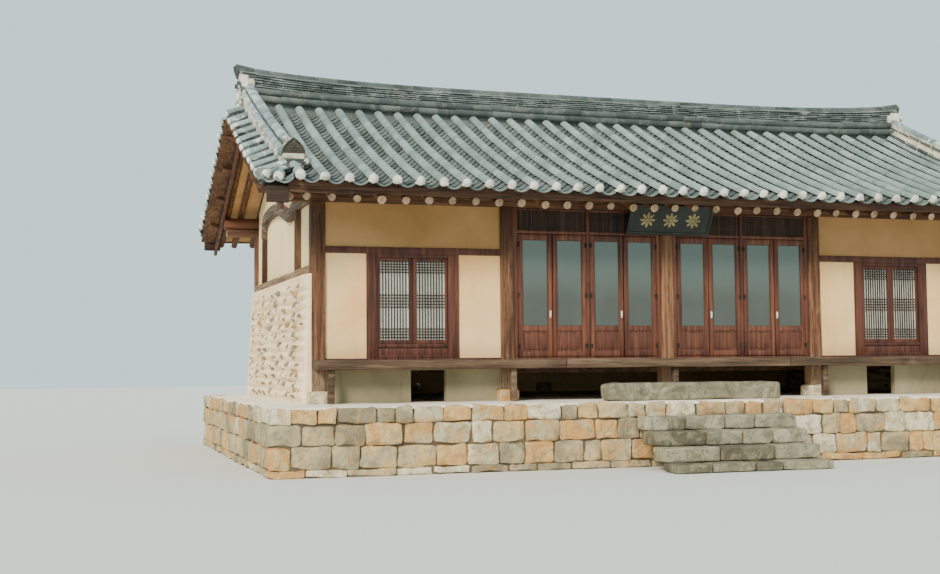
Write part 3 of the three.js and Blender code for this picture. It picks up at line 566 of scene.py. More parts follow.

# %% [markdown]
# Fired tiles. A half-round cover tile is an edge spun half a turn about its axis and
# drawn out to its length, a little wider at its lower end so that each laps over the
# next. A trough plate is a small grid, bent and given its thickness. Their finish is
# grey with a green-blue bloom, darker in the troughs, and each trough plate carries
# painted shade towards its upper end, where the plate above shades it.

# %% Tile finishes
def fired(name, dark, middle, light, bloom, dust=0.35, relief=0.004):
    clay = Finish(name, 0.82, 0.3)
    clouds, speckle = clay.noise(2.2, 6.0, 0.65, 0.5), clay.noise(38, 5.0, 0.7)
    tone = clay.sum("ADD", clay.sum("MULTIPLY", clay.shade(), 0.28), clay.sum("MULTIPLY", clouds, 0.72))
    body = clay.ramp(tone, (0.25, dark), (0.55, middle), (0.85, light))
    body = clay.patches(body, (clay.noise(5.5, 6.0, 0.7, 0.8), 0.5, 0.68, bloom, dust),
                        (speckle, 0.56, 0.7, dark, 0.35))
    return clay.done(body, (clouds, relief * 0.6), (speckle, relief * 0.5))


COVER_TILE = fired("cover_tile", "66736e", "87958f", "a3afa8", "bcc4bb")
TROUGH_TILE = fired("trough_tile", "1d2222", "75807c", "9ca7a3", "b4bcb6", 0.25)
RIDGE_TILE = fired("ridge_tile", "303532", "515956", "747971", "8d8778", 0.4, 0.006)
VERGE_TILE = fired("verge_tile", "56625f", "8a9a9a", "b6c4c3", "eef0ea", 0.85, 0.006)
STACK_TILE = fired("stack_tile", "353b39", "727b76", "a2a9a1", "cbc8bb", 0.5, 0.006)
END_TILE = fired("end_tile", "2a2721", "4a453a", "79715f", "6b6350", 0.5, 0.005)

# %% [markdown]
# The roof surface follows the frame: it sags between ridge and eave, climbs a little
# towards both verges and drops over the outermost hand's breadth. Tiles are placed at
# equal steps along the slope's own length, as a roofer measures them.

# %% The slope
ROOF_TOP, ROOF_EAVE = (0.30, 4.876), (3.58, 3.477)
SAG = 0.17
LIFT_REACH, LIFT_POWER, ROOF_LIFT, RIDGE_LIFT = 5.526, 4.4, 0.040, 0.172
VERGE_SEAM, VERGE_BED, VERGE_DROP = 5.33, 5.60, 0.060
TILE_PITCH, ROWS = 0.29, 18
MEASURES = 600
SLOPES = {"front": Matrix.Identity(4), "rear": turned(180, "Z")}


def roll_height(y):
    share = (y - ROOF_TOP[0]) / (ROOF_EAVE[0] - ROOF_TOP[0])
    return ROOF_TOP[1] - (ROOF_TOP[1] - ROOF_EAVE[1]) * share * (1 + SAG * (1 - share))


def rise(x, height):
    return height * (abs(x) / LIFT_REACH) ** LIFT_POWER


def roof_shift(x):
    over = max(0.0, abs(x) - VERGE_SEAM) / (VERGE_BED - VERGE_SEAM)
    return rise(x, ROOF_LIFT) - VERGE_DROP * over


def slope_steps(count, first=ROOF_TOP[0], last=ROOF_EAVE[0]):
    """Places (y, z) at equal lengths down the slope, both ends included."""
    ys = [first + (last - first) * k / MEASURES for k in range(MEASURES + 1)]
    lengths = [0.0]
    for a, b in zip(ys, ys[1:]):
        lengths.append(lengths[-1] + math.hypot(b - a, roll_height(b) - roll_height(a)))
    places = []
    k = 0
    for step in range(count + 1):
        target = lengths[-1] * step / count
        while k < MEASURES - 1 and lengths[k + 1] < target:
            k += 1
        part = (target - lengths[k]) / (lengths[k + 1] - lengths[k])
        y = ys[k] + (ys[k + 1] - ys[k]) * part
        places.append((y, roll_height(y)))
    return places


def on_slope(x, upper, lower, turn, up=0.0, lift=None):
    """The frame of a tile: its origin at the upper end, -Y down the slope, Z off the roof."""
    angle = math.atan2(upper[1] - lower[1], lower[0] - upper[0])
    tilt = Matrix.Rotation(angle, 4, "X")
    shift = roof_shift(x) if lift is None else lift
    return turn @ at(x, -upper[0], upper[1] + shift) @ tilt @ at(0, 0, up)


# %% Tile patterns
PLATE_WIDTH, PLATE_DIP, PLATE_THICKNESS = 0.245, 0.072, 0.017
COVER_STEPS, TROUGH_STEPS = 12, 25
COVER_TOP, ROLL_RADIUS = 0.225, 0.065


def half_tile(radius, length, steps=10, wall=0.014, spread=1.045):
    """A cover tile from y=0, its upper end, to y=-length, open below."""
    bm = bmesh.new()
    inner = bm.verts.new((radius / spread - wall, 0, -0.006))
    outer = bm.verts.new((radius / spread, 0, -0.006))
    edge = bm.edges.new((inner, outer))
    bmesh.ops.spin(bm, geom=[inner, outer, edge], axis=(0, -1, 0), cent=(0, 0, 0),
                   angle=math.pi, steps=steps, use_merge=False)
    lower, _ = drawn_out(bm)
    bmesh.ops.scale(bm, vec=(spread, 1, spread), verts=lower)
    bmesh.ops.translate(bm, vec=(0, -length, 0), verts=lower)
    return pattern(bm)


def trough_plate(length):
    """A dished plate round its middle line, from y=0 up to y=length."""
    bm = bmesh.new()
    bmesh.ops.create_grid(bm, x_segments=6, y_segments=2, size=0.5)
    for vert in bm.verts:
        across, along = vert.co.x * 2, vert.co.y + 0.5
        along = 0.45 if 0.1 < along < 0.9 else along
        vert.co = Vector((vert.co.x * PLATE_WIDTH, along * length, PLATE_DIP * across * across))
    outward(bm)
    bmesh.ops.solidify(bm, geom=bm.faces[:], thickness=PLATE_THICKNESS)
    return pattern(bm)


def lump(wide, deep, high, seed):
    """A pat of lime pressed into a tile's mouth."""
    bm = bmesh.new()
    bmesh.ops.create_icosphere(bm, subdivisions=2, radius=1.03)
    for vert in bm.verts:
        spot = vert.co.copy()
        bumpy = 1 + 0.13 * noise.noise(spot * 1.3 + Vector((seed, 0, 0))) + 0.08 * noise.noise(spot * 3.4)
        vert.co = Vector((spot.x * wide, spot.y * deep, spot.z * high)) * bumpy
    return pattern(bm)


slope_length = sum(math.dist(a, b) for a, b in zip(slope_steps(40), slope_steps(40)[1:]))
COVER_LENGTH, TROUGH_STEP = slope_length / COVER_STEPS, slope_length / TROUGH_STEPS
TILE = half_tile(ROLL_RADIUS, COVER_LENGTH * 1.05)
PLATE = trough_plate(TROUGH_STEP * 1.6)
LUMPS = [lump(0.062, 0.032, 0.059, seed) for seed in range(6)]
print("slope:", round(slope_length, 3), "m, cover tile", round(COVER_LENGTH, 3), "m")

# %% The tile field
TROUGH_SEAT, PLATE_TILT = -0.085, 12.0
# Painted shade on each trough plate: none at its lip, growing towards its upper end, under the plate above.
TUCKED = [max(0.0, vert.co.y / TROUGH_STEP - 0.55) * 0.9 for vert in PLATE.vertices]
TUCKED_PAINTED_SHADE = 1.9


def cover_rows(turn, dice):
    bm = bench()
    stops = slope_steps(COVER_STEPS, COVER_TOP)
    for row in range(-ROWS, ROWS + 1):
        for upper, lower in zip(stops, stops[1:]):
            x, z, twist = diced(dice, (-0.003, 0.003), (-0.002, 0.002), (-0.7, 0.7))
            place = on_slope(row * TILE_PITCH, upper, lower, turn) @ at(x, 0, z) @ turned(twist, "Z")
            stamp(bm, TILE, place, dice.random())
    return bm


def trough_rows(turn, dice):
    """Rows of plates, each with painted shade where the next one above shades it."""
    bm = bench()
    stops = slope_steps(TROUGH_STEPS + 1, COVER_TOP)
    for row in range(-ROWS, ROWS + 2):
        x = (row - 0.5) * TILE_PITCH
        if abs(x) > VERGE_SEAM:
            continue
        for upper, lower in zip(stops, stops[1:]):
            past = (2 * lower[0] - upper[0], 2 * lower[1] - upper[1])
            roll, slip, shade = diced(dice, (-1.2, 1.2), (-0.005, 0.005), (0.3, 0.75))
            tilt = turned(-PLATE_TILT, "X") @ turned(roll, "Y")
            place = on_slope(x, lower, past, turn, TROUGH_SEAT) @ at(0, slip, 0) @ tilt
            fresh = stamp(bm, PLATE, place, shade)
            mark = bm.verts.layers.float["shade"]
            for vert, hidden in zip(fresh, TUCKED):
                vert[mark] -= TUCKED_PAINTED_SHADE * hidden
    return bm


def lime_ends(turn, dice):
    bm = bench()
    upper, lower = slope_steps(COVER_STEPS)[-2:]
    for row in range(-ROWS, ROWS + 1):
        place = on_slope(row * TILE_PITCH, upper, lower, turn) @ at(0, -COVER_LENGTH * 1.01, 0.006)
        size = sized(*diced(dice, (0.88, 1.02), (0.8, 1.3), (0.88, 1.04)))
        stamp(bm, dice.choice(LUMPS), place @ turned(dice.uniform(-14, 14), "Y") @ size, dice.random())
        for side in SIDES.values():
            x, y, drop = diced(dice, (0.034, 0.048), (-0.004, 0.016), (0.022, 0.034))
            wide, high = diced(dice, (0.20, 0.36), (0.20, 0.34))
            foot = place @ at(side * x, y, -drop) @ sized(wide, 0.8, high)
            stamp(bm, dice.choice(LUMPS), foot, dice.random())
    return bm


for name, turn in SLOPES.items():
    new_piece(f"cover_tiles_{name}", cover_rows(turn, random.Random(21)), COVER_TILE,
              [f"roof_tiles_{name}"])
    new_piece(f"trough_tiles_{name}", trough_rows(turn, random.Random(22)), TROUGH_TILE)
    new_piece(f"lime_tile_ends_{name}", lime_ends(turn, random.Random(23)), LIME, soft=60)

# %% [markdown]
# Along the verges short cover tiles lie across the slope, so that rain runs off to the
# side, and two more fan out round the corner at the eave. Their mouths are limed too.

# %% Verge tiles
VERGE_STEPS, VERGE_FIRST, VERGE_LAST = 19, 0.31, 3.29
VERGE_LENGTH, FAN_LENGTH = 0.37, 0.28
VERGE_LEAN, VERGE_YAW, VERGE_UP = 19.0, 7.0, 0.022
IN_SHADE = -0.2
SHORT_TILE = half_tile(ROLL_RADIUS, VERGE_LENGTH)
SHORT_PLATE = trough_plate(VERGE_LENGTH)
FAN_TILE = half_tile(0.062, FAN_LENGTH, 10, 0.012, 1.42)
VERGE_LUMPS = [lump(0.054, 0.030, 0.050, seed + 11) for seed in range(6)]


def verge_side(side, turn, dice, tiles, plates, limes):
    """Tiles at the even steps, and two plates in each trough between them."""
    stops = slope_steps(VERGE_STEPS, VERGE_FIRST, VERGE_LAST)
    for k, (spot, past) in enumerate(zip(stops, stops[1:] + [None])):
        before, after = (spot, past) if past else (stops[-2], spot)
        seat = on_slope(side * (VERGE_SEAM - 0.02), before, after, turn, lift=rise(VERGE_SEAM, ROOF_LIFT))
        if not past:
            seat = turn @ at(0, before[0] - after[0], after[1] - before[1]) @ turn.inverted() @ seat
        yaw = side * (90 - VERGE_YAW) + dice.uniform(-1.5, 1.5)
        out = seat @ at(0, 0, VERGE_UP) @ turned(yaw, "Z") @ turned(VERGE_LEAN, "X")
        if k % 2 == 0:
            stamp(tiles, SHORT_TILE, out, dice.random())
            mouth = out @ at(0, -VERGE_LENGTH - 0.010, 0.008) @ turned(dice.uniform(-30, 30), "Y")
            size = sized(*diced(dice, (0.8, 1.2), (0.6, 1.4), (0.8, 1.2)))
            stamp(limes, dice.choice(VERGE_LUMPS), mouth @ size, dice.random())
        else:
            for along, up in ((0.012, -0.088), (-0.030, -0.060)):
                stamp(plates, SHORT_PLATE, out @ at(0, -VERGE_LENGTH - along, up), IN_SHADE)


def corner_fan(side, turn, dice, tiles, plates, limes):
    """Two tiles turned between the last row of the eave and the last tile of the verge."""
    upper, lower = slope_steps(COVER_STEPS)[-2:]

    def seat(x, back, swing, lean, up=0.0):
        place = on_slope(side * x, upper, lower, turn, up) @ at(0, back, 0)
        return place @ turned(side * swing, "Z") @ turned(lean, "X")

    for swing, x, back in ((22, 5.352, 0.07), (46, 5.385, 0.09)):
        place = seat(x, back, swing, 8, -0.012)
        stamp(tiles, FAN_TILE, place, dice.random())
        stamp(limes, dice.choice(LUMPS), place @ at(0, -FAN_LENGTH - 0.012, 0.010), dice.random())
    for swing, x, back, reach in ((9, 5.345, 0.06, 0.31), (38, 5.385, 0.06, 0.31), (70, 5.39, 0.07, 0.30)):
        for out, up in ((0.0, -0.098), (-0.04, -0.072)):
            place = seat(x, back, swing, 4) @ at(0, -reach - out, up) @ sized(0.92, 0.72, 1)
            stamp(plates, SHORT_PLATE, place, dice.random())


for name, turn in SLOPES.items():
    dice = random.Random(31)
    parts = [bench() for _ in range(3)]
    for side in SIDES.values():
        verge_side(side, turn, dice, *parts)
        corner_fan(side, turn, dice, *parts)
    new_piece(f"verge_tiles_{name}", parts[0], VERGE_TILE)
    new_piece(f"verge_plates_{name}", parts[1], TROUGH_TILE)
    new_piece(f"verge_lime_{name}", parts[2], LIME, soft=60)

# %% [markdown]
# The main ridge is built up on a bed of lime: two rows of round tiles laid sideways, a
# stack of thin flat tiles with lime in its joints, and a row of cover tiles as a cap.
# All of it climbs towards the gables, the upper layers more than the lower ones, so
# each tile takes its height and its lean from one formula of x.

# %% Ridge helpers
RIDGE_BASE = roll_height(0.30) - 0.055
RIDGE_HEIGHT, RIDGE_HALF, RIDGE_PITCH = 0.60, 5.47, 0.285
CAP_Z, CAP_RADIUS = 0.515, 0.085
ROLL_PLACES = ((0.243, 0.182), (0.184, 0.282))
STACK_LAYERS, STACK_LOW, STACK_HIGH = 6, 0.334, 0.512
BED_PARTS = 44
BED_SECTION = [(0.20, 0.0), (0.20, 0.10), (0.205, 0.15), (0.19, 0.23), (0.165, 0.30), (0.092, 0.33),
               (0.092, 0.51), (0.06, 0.55)]
RIDGE_ROLL = half_tile(0.052, RIDGE_PITCH * 1.02, 8, 0.012, 1.05)
RIDGE_CAP = half_tile(CAP_RADIUS, RIDGE_PITCH * 1.03, 12, 0.014, 1.05)


def ridge_z(x, up):
    """Height of a ridge layer that lies up metres over the base at the middle."""
    low = roof_shift(min(abs(x), VERGE_SEAM))
    return RIDGE_BASE + up + low + up / RIDGE_HEIGHT * (rise(x, RIDGE_LIFT) - low)


def on_ridge(x, y, up, length=RIDGE_PITCH):
    """A frame at the tile's inner end: -Y runs outwards along the ridge."""
    side = 1 if x >= 0 else -1
    climb = math.atan2(ridge_z(abs(x) + length, up) - ridge_z(abs(x), up), length)
    return at(x, y, ridge_z(x, up)) @ turned(side * 90, "Z") @ Matrix.Rotation(-climb, 4, "X")


def ridge_stations(reach):
    """Inner ends of the tiles, from the middle outwards to both sides."""
    count = int(reach / RIDGE_PITCH)
    step = reach / count
    return [side * (k * step + 0.001) for side in SIDES.values() for k in range(count)]


def ridge_rolls(dice):
    bm = bench()
    for x in ridge_stations(RIDGE_HALF):
        side = 1 if x >= 0 else -1
        for y, up in ROLL_PLACES:
            for face in (-1, 1):
                roll = turned(face * side * 62, "Y") @ turned(dice.uniform(-0.8, 0.8), "Z")
                place = on_ridge(x, face * y, up + dice.uniform(-0.003, 0.003)) @ roll
                stamp(bm, RIDGE_ROLL, place, dice.random())
    return bm


def ridge_stack(dice):
    """Thin tiles seen by their edges, in layers that break joint at random."""
    bm = bench()
    step = (STACK_HIGH - STACK_LOW) / STACK_LAYERS
    for layer in range(STACK_LAYERS):
        up = STACK_LOW + step * (layer + 0.5)
        for face in (-1, 1):
            for side in SIDES.values():
                x = 0.0
                for width in course_widths(dice, RIDGE_HALF - 0.04, 0.17, 0.33):
                    edge = 0.134 + dice.uniform(-0.016, 0.014)
                    half = Vector((edge / 2, (width - 0.006) / 2, (step - dice.uniform(0.013, 0.019)) / 2))
                    lean, roll = diced(dice, (-1.2, 1.2), (-2.5, 2.5))
                    place = on_ridge(side * (x + 0.001), 0, up) @ at(side * face * edge / 2, -width / 2, 0)
                    place = place @ turned(lean, "X") @ turned(roll, "Y")
                    block(bm, -half, half, dice.random(), place)
                    x += width
    return bm


def ridge_cap(dice):
    bm = bench()
    for x in ridge_stations(RIDGE_HALF + 0.02):
        stamp(bm, RIDGE_CAP, on_ridge(x, dice.uniform(-0.004, 0.004), CAP_Z), dice.random())
    return bm


def ridge_bed():
    """The lime core, seen in the joints and as the ridge's gable ends; its dark grey is painted shade."""
    bm = bench()
    outline = BED_SECTION + [(-y, up) for y, up in reversed(BED_SECTION)]
    bm.faces.new([bm.verts.new((-RIDGE_HALF, y, up)) for y, up in outline])
    faces = bm.faces[:]
    for part in range(1, BED_PARTS + 1):
        fresh, faces = next_ring(bm, faces, part == 1)
        for vert in fresh:
            vert.co.x = -RIDGE_HALF + 2 * RIDGE_HALF * part / BED_PARTS
    for vert in bm.verts:
        vert.co.z = ridge_z(vert.co.x, vert.co.z)
        vert.co += stroke(vert.co, 3, 4, 0.006)
    outward(bm)
    return bm


new_piece("ridge_rolls", ridge_rolls(random.Random(41)), RIDGE_TILE,
          ["main_ridge_left", "main_ridge_right"])
new_piece("ridge_stack", ridge_stack(random.Random(42)), STACK_TILE)
new_piece("ridge_cap", ridge_cap(random.Random(43)), RIDGE_TILE)
new_piece("ridge_bed", ridge_bed(), RIDGE_MORTAR_PAINTED_SHADE)

# %% Ridge ends
# Places (y, up) and sizes of the lime lumps, and blocks of lime on both cheeks by two
# corners (back from the end, y, up).
END_LUMPS = [(0.0, 0.50, 1.15), (0.05, 0.40, 0.9), (-0.07, 0.34, 1.0), (0.15, 0.26, 0.9), (-0.16, 0.25, 0.85),
             (0.0, 0.22, 1.4), (0.21, 0.12, 0.9), (-0.21, 0.12, 0.95), (0, 0.08, 1.4)]
RIDGE_CHEEK = [((0.0, 0.07, 0.34), (0.13, 0.18, 0.46)), ((0.12, 0.08, 0.29), (0.22, 0.19, 0.42)),
               ((0.01, 0.10, 0.24), (0.12, 0.23, 0.37)), ((0.05, 0.06, 0.39), (0.15, 0.15, 0.46))]
DISC_RADIUS, DISC_THICK = 0.098, 0.030


def end_disc():
    """A round tile with a sunk face, standing across the ridge's end."""
    bm = bmesh.new()
    bmesh.ops.create_circle(bm, cap_ends=True, segments=28, radius=DISC_RADIUS)
    bmesh.ops.rotate(bm, matrix=Matrix.Rotation(math.radians(90), 3, "Y"), verts=bm.verts)
    fresh, _ = drawn_out(bm)
    bmesh.ops.translate(bm, vec=(DISC_THICK, 0, 0), verts=fresh)
    outward(bm)
    for way in (-1, 1):
        face = [each for each in bm.faces if each.normal.x * way > 0.9 and len(each.verts) > 20]
        bmesh.ops.inset_region(bm, faces=face, thickness=0.016, depth=-0.007)
    bmesh.ops.translate(bm, vec=(-DISC_THICK / 2, 0, 0), verts=bm.verts)
    return pattern(bm)


END_DISC = end_disc()


def ridge_end(side, dice, limes, tiles):
    """Lumps of lime that close the ridge at a gable, and the last tiles, turned up."""
    for y, up, size in END_LUMPS:
        place = at(side * (RIDGE_HALF - 0.01), y, ridge_z(RIDGE_HALF, up)) @ turned(90, "Z")
        stamp(limes, dice.choice(LUMPS), place @ sized(size, size, size), dice.random())
    for face in (-1, 1):
        for corners in RIDGE_CHEEK:
            near, far = [(side * (RIDGE_HALF - back), face * y, ridge_z(RIDGE_HALF, up))
                         for back, y, up in corners]
            rough_stone(limes, near, far, dice.uniform(0, 90), 0.5, 5, 0.030, 4.0)
    tip = on_ridge(side * (RIDGE_HALF - 0.20), 0, CAP_Z + 0.002, 0.2) @ turned(-3, "X")
    stamp(tiles, RIDGE_CAP, tip @ sized(1.06, 0.86, 1.06), 0.15)
    disc = at(side * (RIDGE_HALF + 0.030), 0, ridge_z(RIDGE_HALF, 0.505)) @ turned(side * 18, "Y")
    stamp(tiles, END_DISC, disc, 0.1)
    for y in (-0.11, 0.11):
        low = on_ridge(side * (RIDGE_HALF - 0.17), y, 0.335, 0.2)
        stamp(tiles, RIDGE_ROLL, low @ sized(1.2, 0.72, 1.2), 0.3)


dice, limes, tiles = random.Random(44), bench(), bench()
for side in SIDES.values():
    ridge_end(side, dice, limes, tiles)
new_piece("ridge_end_lime", limes, ROUGH_LIME, soft=60)
new_piece("ridge_end_tiles", tiles, RIDGE_TILE)

# %% [markdown]
# A shorter ridge runs down beside each verge: an inner row of cover tiles on a low
# wall of flat tiles and lime, a lower row outside it, and at the foot an upright tile
# with a pointed top over a band of lime. The pointed tile starts as half a disc whose
# rim is drawn up to a point, and its face is inset twice for the rim and the sunk field.

# %% Descending ridges
DESCENT_FOOT, DESCENT_TOP, DESCENT_TILES = 3.033, 0.15, 10
DESCENT_SPLAY = 0.083
DESCENT_WALL, DESCENT_CAP_X, DESCENT_ROW_X, END_TILE_X = 5.235, 5.257, 5.325, 5.210
CAP_UP, ROW_UP, SEAT = 0.188, 0.080, 0.0663
LAST_SHARE = 0.84
POINT_HALF, POINT_HIGH, POINT_THICK = 0.140, 0.196, 0.052
# The wall: flat tiles (height, half width, shift out), then lime cores (foot, top, half width).
WALL_TILES = [(0.014, 0.118, 0.0), (0.040, 0.108, 0.004), (0.132, 0.076, 0.016), (0.156, 0.070, 0.018),
              (0.178, 0.068, 0.020)]
WALL_CORES = [(-0.13, 0.052, 0.112), (0.05, 0.180, 0.064)]
# The foot: flat tiles and lime bands (foot, top, half width, reach), then pats (x, up, size).
FOOT_TILES = [(-0.052, -0.030, 0.142, 0.075), (-0.024, -0.002, 0.134, 0.068)]
FOOT_BANDS = [(0.004, 0.066, 0.126, 0.040), (-0.10, 0.004, 0.118, 0.030)]
FOOT_PATS = [(-0.150, -0.015, 0.75), (0.148, -0.030, 0.85), (-0.158, -0.070, 0.8), (0.05, -0.075, 0.75),
             (-0.05, -0.080, 0.6)]


def pointed_tile():
    """An upright end tile: half a disc drawn up to a point, its face sunk inside a rim."""
    bm = bmesh.new()
    bmesh.ops.create_circle(bm, cap_ends=True, segments=36, radius=1.0)
    bmesh.ops.bisect_plane(bm, geom=bm.verts[:] + bm.edges[:] + bm.faces[:], plane_co=(0, 0, 0),
                           plane_no=(0, 1, 0), clear_inner=True)
    for vert in bm.verts:
        up = min(1.0, max(0.0, vert.co.y))
        across = math.copysign(1 - up ** 2.2, vert.co.x) if up < 0.999 else 0.0
        vert.co = Vector((across * POINT_HALF, 0, up * POINT_HIGH))
    fresh, _ = drawn_out(bm)
    bmesh.ops.translate(bm, vec=(0, -POINT_THICK, 0), verts=fresh)
    outward(bm)
    front = [face for face in bm.faces if face.normal.y < -0.9]
    bmesh.ops.inset_region(bm, faces=front, thickness=0.013, depth=0.0)
    bmesh.ops.inset_region(bm, faces=front, thickness=0.006, depth=-0.010)
    ring = [(0.042 * math.cos(k * math.tau / 6), 0.075 + 0.042 * math.sin(k * math.tau / 6), 0.015)
            for k in range(6)]
    for x, z, size in [(0, 0.075, 0.020)] + ring:
        boss = bmesh.ops.create_icosphere(bm, subdivisions=2, radius=size)["verts"]
        bmesh.ops.scale(bm, vec=(1, 0.4, 1), verts=boss)
        bmesh.ops.translate(bm, vec=(x, -POINT_THICK + 0.010, z), verts=boss)
    return pattern(bm)


DESCENT_TILE = half_tile(0.066, 0.305, 10, 0.012)
POINTED_TILE = pointed_tile()


def on_descent(run, x, up):
    """A frame on one step (side, upper, lower, turn) of this ridge, farther out near the top."""
    side, upper, lower, turn = run
    places = []
    for y, _ in (upper, lower):
        part = (DESCENT_FOOT - y) / (DESCENT_FOOT - DESCENT_TOP)
        places.append(x + DESCENT_SPLAY * part)
    yaw = Matrix.Rotation(side * math.atan2(places[1] - places[0], math.dist(upper, lower)), 4, "Z")
    lift = roof_shift(DESCENT_CAP_X) + (SEAT + up)
    return on_slope(side * places[0], upper, lower, turn, 0.0, lift) @ yaw


def descent_rows(run, dice, tiles, limes, share):
    """The two rows of cover tiles, with a pat of lime here and there."""
    for x, up in ((DESCENT_CAP_X, CAP_UP), (DESCENT_ROW_X, ROW_UP)):
        row = on_descent(run, x, up) @ sized(1, share, 1)
        stamp(tiles, DESCENT_TILE, row @ turned(dice.uniform(-1.8, 1.8), "Z"), dice.random())
        if share < 1.0:
            stamp(tiles, LUMPS[0], row @ at(0, -0.298, -0.004), 0.4)
    if dice.random() < 0.4:
        flat = sized(0.45, dice.uniform(0.8, 1.5), 0.35)
        pat = on_descent(run, DESCENT_ROW_X, ROW_UP - 0.005)
        stamp(limes, dice.choice(LUMPS), pat @ at(0.058 * run[0], -dice.uniform(0.05, 0.25), 0) @ flat)


def descent_wall(run, dice, flats, limes, share):
    """Layers of flat tiles in lime, narrower towards the cap."""
    for up, half, shift in WALL_TILES:
        slip, yaw = diced(dice, (-0.005, 0.005), (-1.5, 1.5))
        place = on_descent(run, DESCENT_WALL + shift, up) @ at(slip, 0, 0) @ turned(yaw, "Z")
        block(flats, (-half, -0.286 * share, -0.008), (half, 0, 0.008), dice.random(), place)
    core = on_descent(run, DESCENT_WALL + 0.012, 0)
    for low, high, half in WALL_CORES:
        block(limes, (-half, -0.30 * share, low), (half, 0.01, high), 0.5, core)


def descent_foot(side, turn, dice, flats, limes, points):
    """Flat tiles and a lime band carry the pointed tile, between two feet of lime."""
    height = roll_height(DESCENT_FOOT) + roof_shift(END_TILE_X) + SEAT
    foot = turn @ at(side * END_TILE_X, -DESCENT_FOOT, height)
    stamp(points, POINTED_TILE, foot @ at(0, 0.010, 0.066), 0.3)
    for low, high, half, deep in FOOT_TILES:
        block(flats, (-half, -deep, low), (half, 0.10, high), dice.random(), foot)
    for low, high, half, deep in FOOT_BANDS:
        block(limes, (-half, -deep, low), (half, 0.06, high), 0.5, foot)
    for x, up, size in FOOT_PATS:
        pat = foot @ at(x, -0.045, up) @ sized(size, size, size) @ sized(0.8, 1.2, 0.8)
        stamp(limes, dice.choice(LUMPS), pat, 0.5)


dice = random.Random(51)
tiles, flats, limes, points = [bench() for _ in range(4)]
stops = slope_steps(DESCENT_TILES, DESCENT_TOP, DESCENT_FOOT)
for turn in SLOPES.values():
    for side in SIDES.values():
        for upper, lower in zip(stops, stops[1:]):
            share = 1.0 if lower is not stops[-1] else LAST_SHARE
            run = (side, upper, lower, turn)
            descent_rows(run, dice, tiles, limes, share)
            descent_wall(run, dice, flats, limes, share * share)
        descent_foot(side, turn, dice, flats, limes, points)
new_piece("descent_tiles", tiles, VERGE_TILE,
          [f"descending_ridge_{face}_{side}" for face in SLOPES for side in SIDES])
new_piece("descent_flat_tiles", flats, RIDGE_TILE)
new_piece("descent_lime", limes, OLD_LIME, soft=60)
new_piece("pointed_end_tiles", points, END_TILE)

# %% [markdown]
# Under the eave, whole logs serve as rafters: round, not quite straight, a little
# thicker at the foot, with pale sawn ends. The board on their tips is cut in scallops
# that take the dished plates of the troughs, and its cusps show between them.

# %% Rafters and eave boards
RAFTER_RADIUS, RAFTER_TIP, RAFTER_TIP_Z, RAFTER_SLOPE = 0.0525, 3.38, 3.271, 0.455
RAFTER_TOP, RAFTER_ANGLE = RAFTER_TIP_Z + RAFTER_SLOPE * RAFTER_TIP, math.atan(RAFTER_SLOPE)
RAFTER_PITCH, RAFTER_LAST, OUTER_RAFTER = 0.30, 17, 5.3175
BOARD_FRONT, BOARD_BACK, BOARD_DROP, SCALLOP = 3.412, 3.33, 0.105, 0.050
BOARD_PARTS = 10
CORNER_LOW, CORNER_HIGH = (VERGE_SEAM, -3.425, 3.205), (5.585, -3.35, 3.395)


def log_end(name, pale, ring, crack):
    """Sawn end wood with its rings, for beams that are cut off square."""
    wood = Finish(name, 0.85, 0.2)
    rings = wood.noise(7, 4.0, 0.6, 1.4)
    body = wood.ramp(rings, (0.35, ring), (0.62, pale))
    body = wood.patches(body, (wood.noise(30, 4, 0.7), 0.55, 0.7, crack, 0.6))
    return wood.done(body, (rings, 0.004), (wood.cells(26, "DISTANCE_TO_EDGE"), 0.001))


LOG_END = log_end("log_end", "a98f73", "7c5f47", "3d2c1e")
# The eave board is dark and low in contrast, and the corner blocks darker still: painted shade under the
# tiles.
EAVE_WOOD_PAINTED_SHADE = timber("eave_wood_painted_shade", "x", "35231a", "61432f", "7d5b43", 0.2, 0.8)
CORNER_WOOD_PAINTED_SHADE = timber("corner_wood_painted_shade", "x", "1f1510", "38261c", "4f3729", 0.2, 0.8)


def log(dice, length, radius, sides, parts):
    """A log from y=0 to y=-length, bent a little, with its foot's face in the second finish."""
    bm = bmesh.new()
    bmesh.ops.create_circle(bm, cap_ends=True, segments=sides, radius=radius)
    bmesh.ops.rotate(bm, matrix=Matrix.Rotation(math.radians(90), 3, "X"), verts=bm.verts)
    faces = bm.faces[:]
    bend_x, bend_z = diced(dice, (-0.012, 0.012), (-0.008, 0.008))
    for part in range(1, parts + 1):
        fresh, faces = next_ring(bm, faces, part == 1)
        bmesh.ops.translate(bm, vec=(0, -length / parts, 0), verts=fresh)
        swell = 1 + dice.uniform(-0.02, 0.025)
        middle = Vector((0, -length * part / parts, 0))
        bmesh.ops.scale(bm, vec=(swell, 1, swell), space=Matrix.Translation(-middle), verts=fresh)
    for vert in bm.verts:
        sway = math.sin(-vert.co.y / length * math.pi)
        vert.co.x += bend_x * sway
        vert.co.z += bend_z * sway
    for face in faces:
        face.material_index = 1
    return pattern(bm)


def build_rafters(turn, dice):
    bm = bench()
    length = RAFTER_TIP / math.cos(RAFTER_ANGLE)
    shapes = [log(dice, length, RAFTER_RADIUS * 0.97, 12, 7) for _ in range(5)]
    places = [k * RAFTER_PITCH for k in range(-RAFTER_LAST, RAFTER_LAST + 1)]
    for x in places + [-OUTER_RAFTER, OUTER_RAFTER]:
        reach = dice.uniform(0.985, 1.003)
        tilt = Matrix.Rotation(RAFTER_ANGLE, 4, "X")
        place = turn @ at(x, -0.004, RAFTER_TOP) @ tilt @ turned(dice.uniform(-180, 180), "Y")
        stamp(bm, dice.choice(shapes), place @ sized(1, reach, 1), dice.random())
    return bm


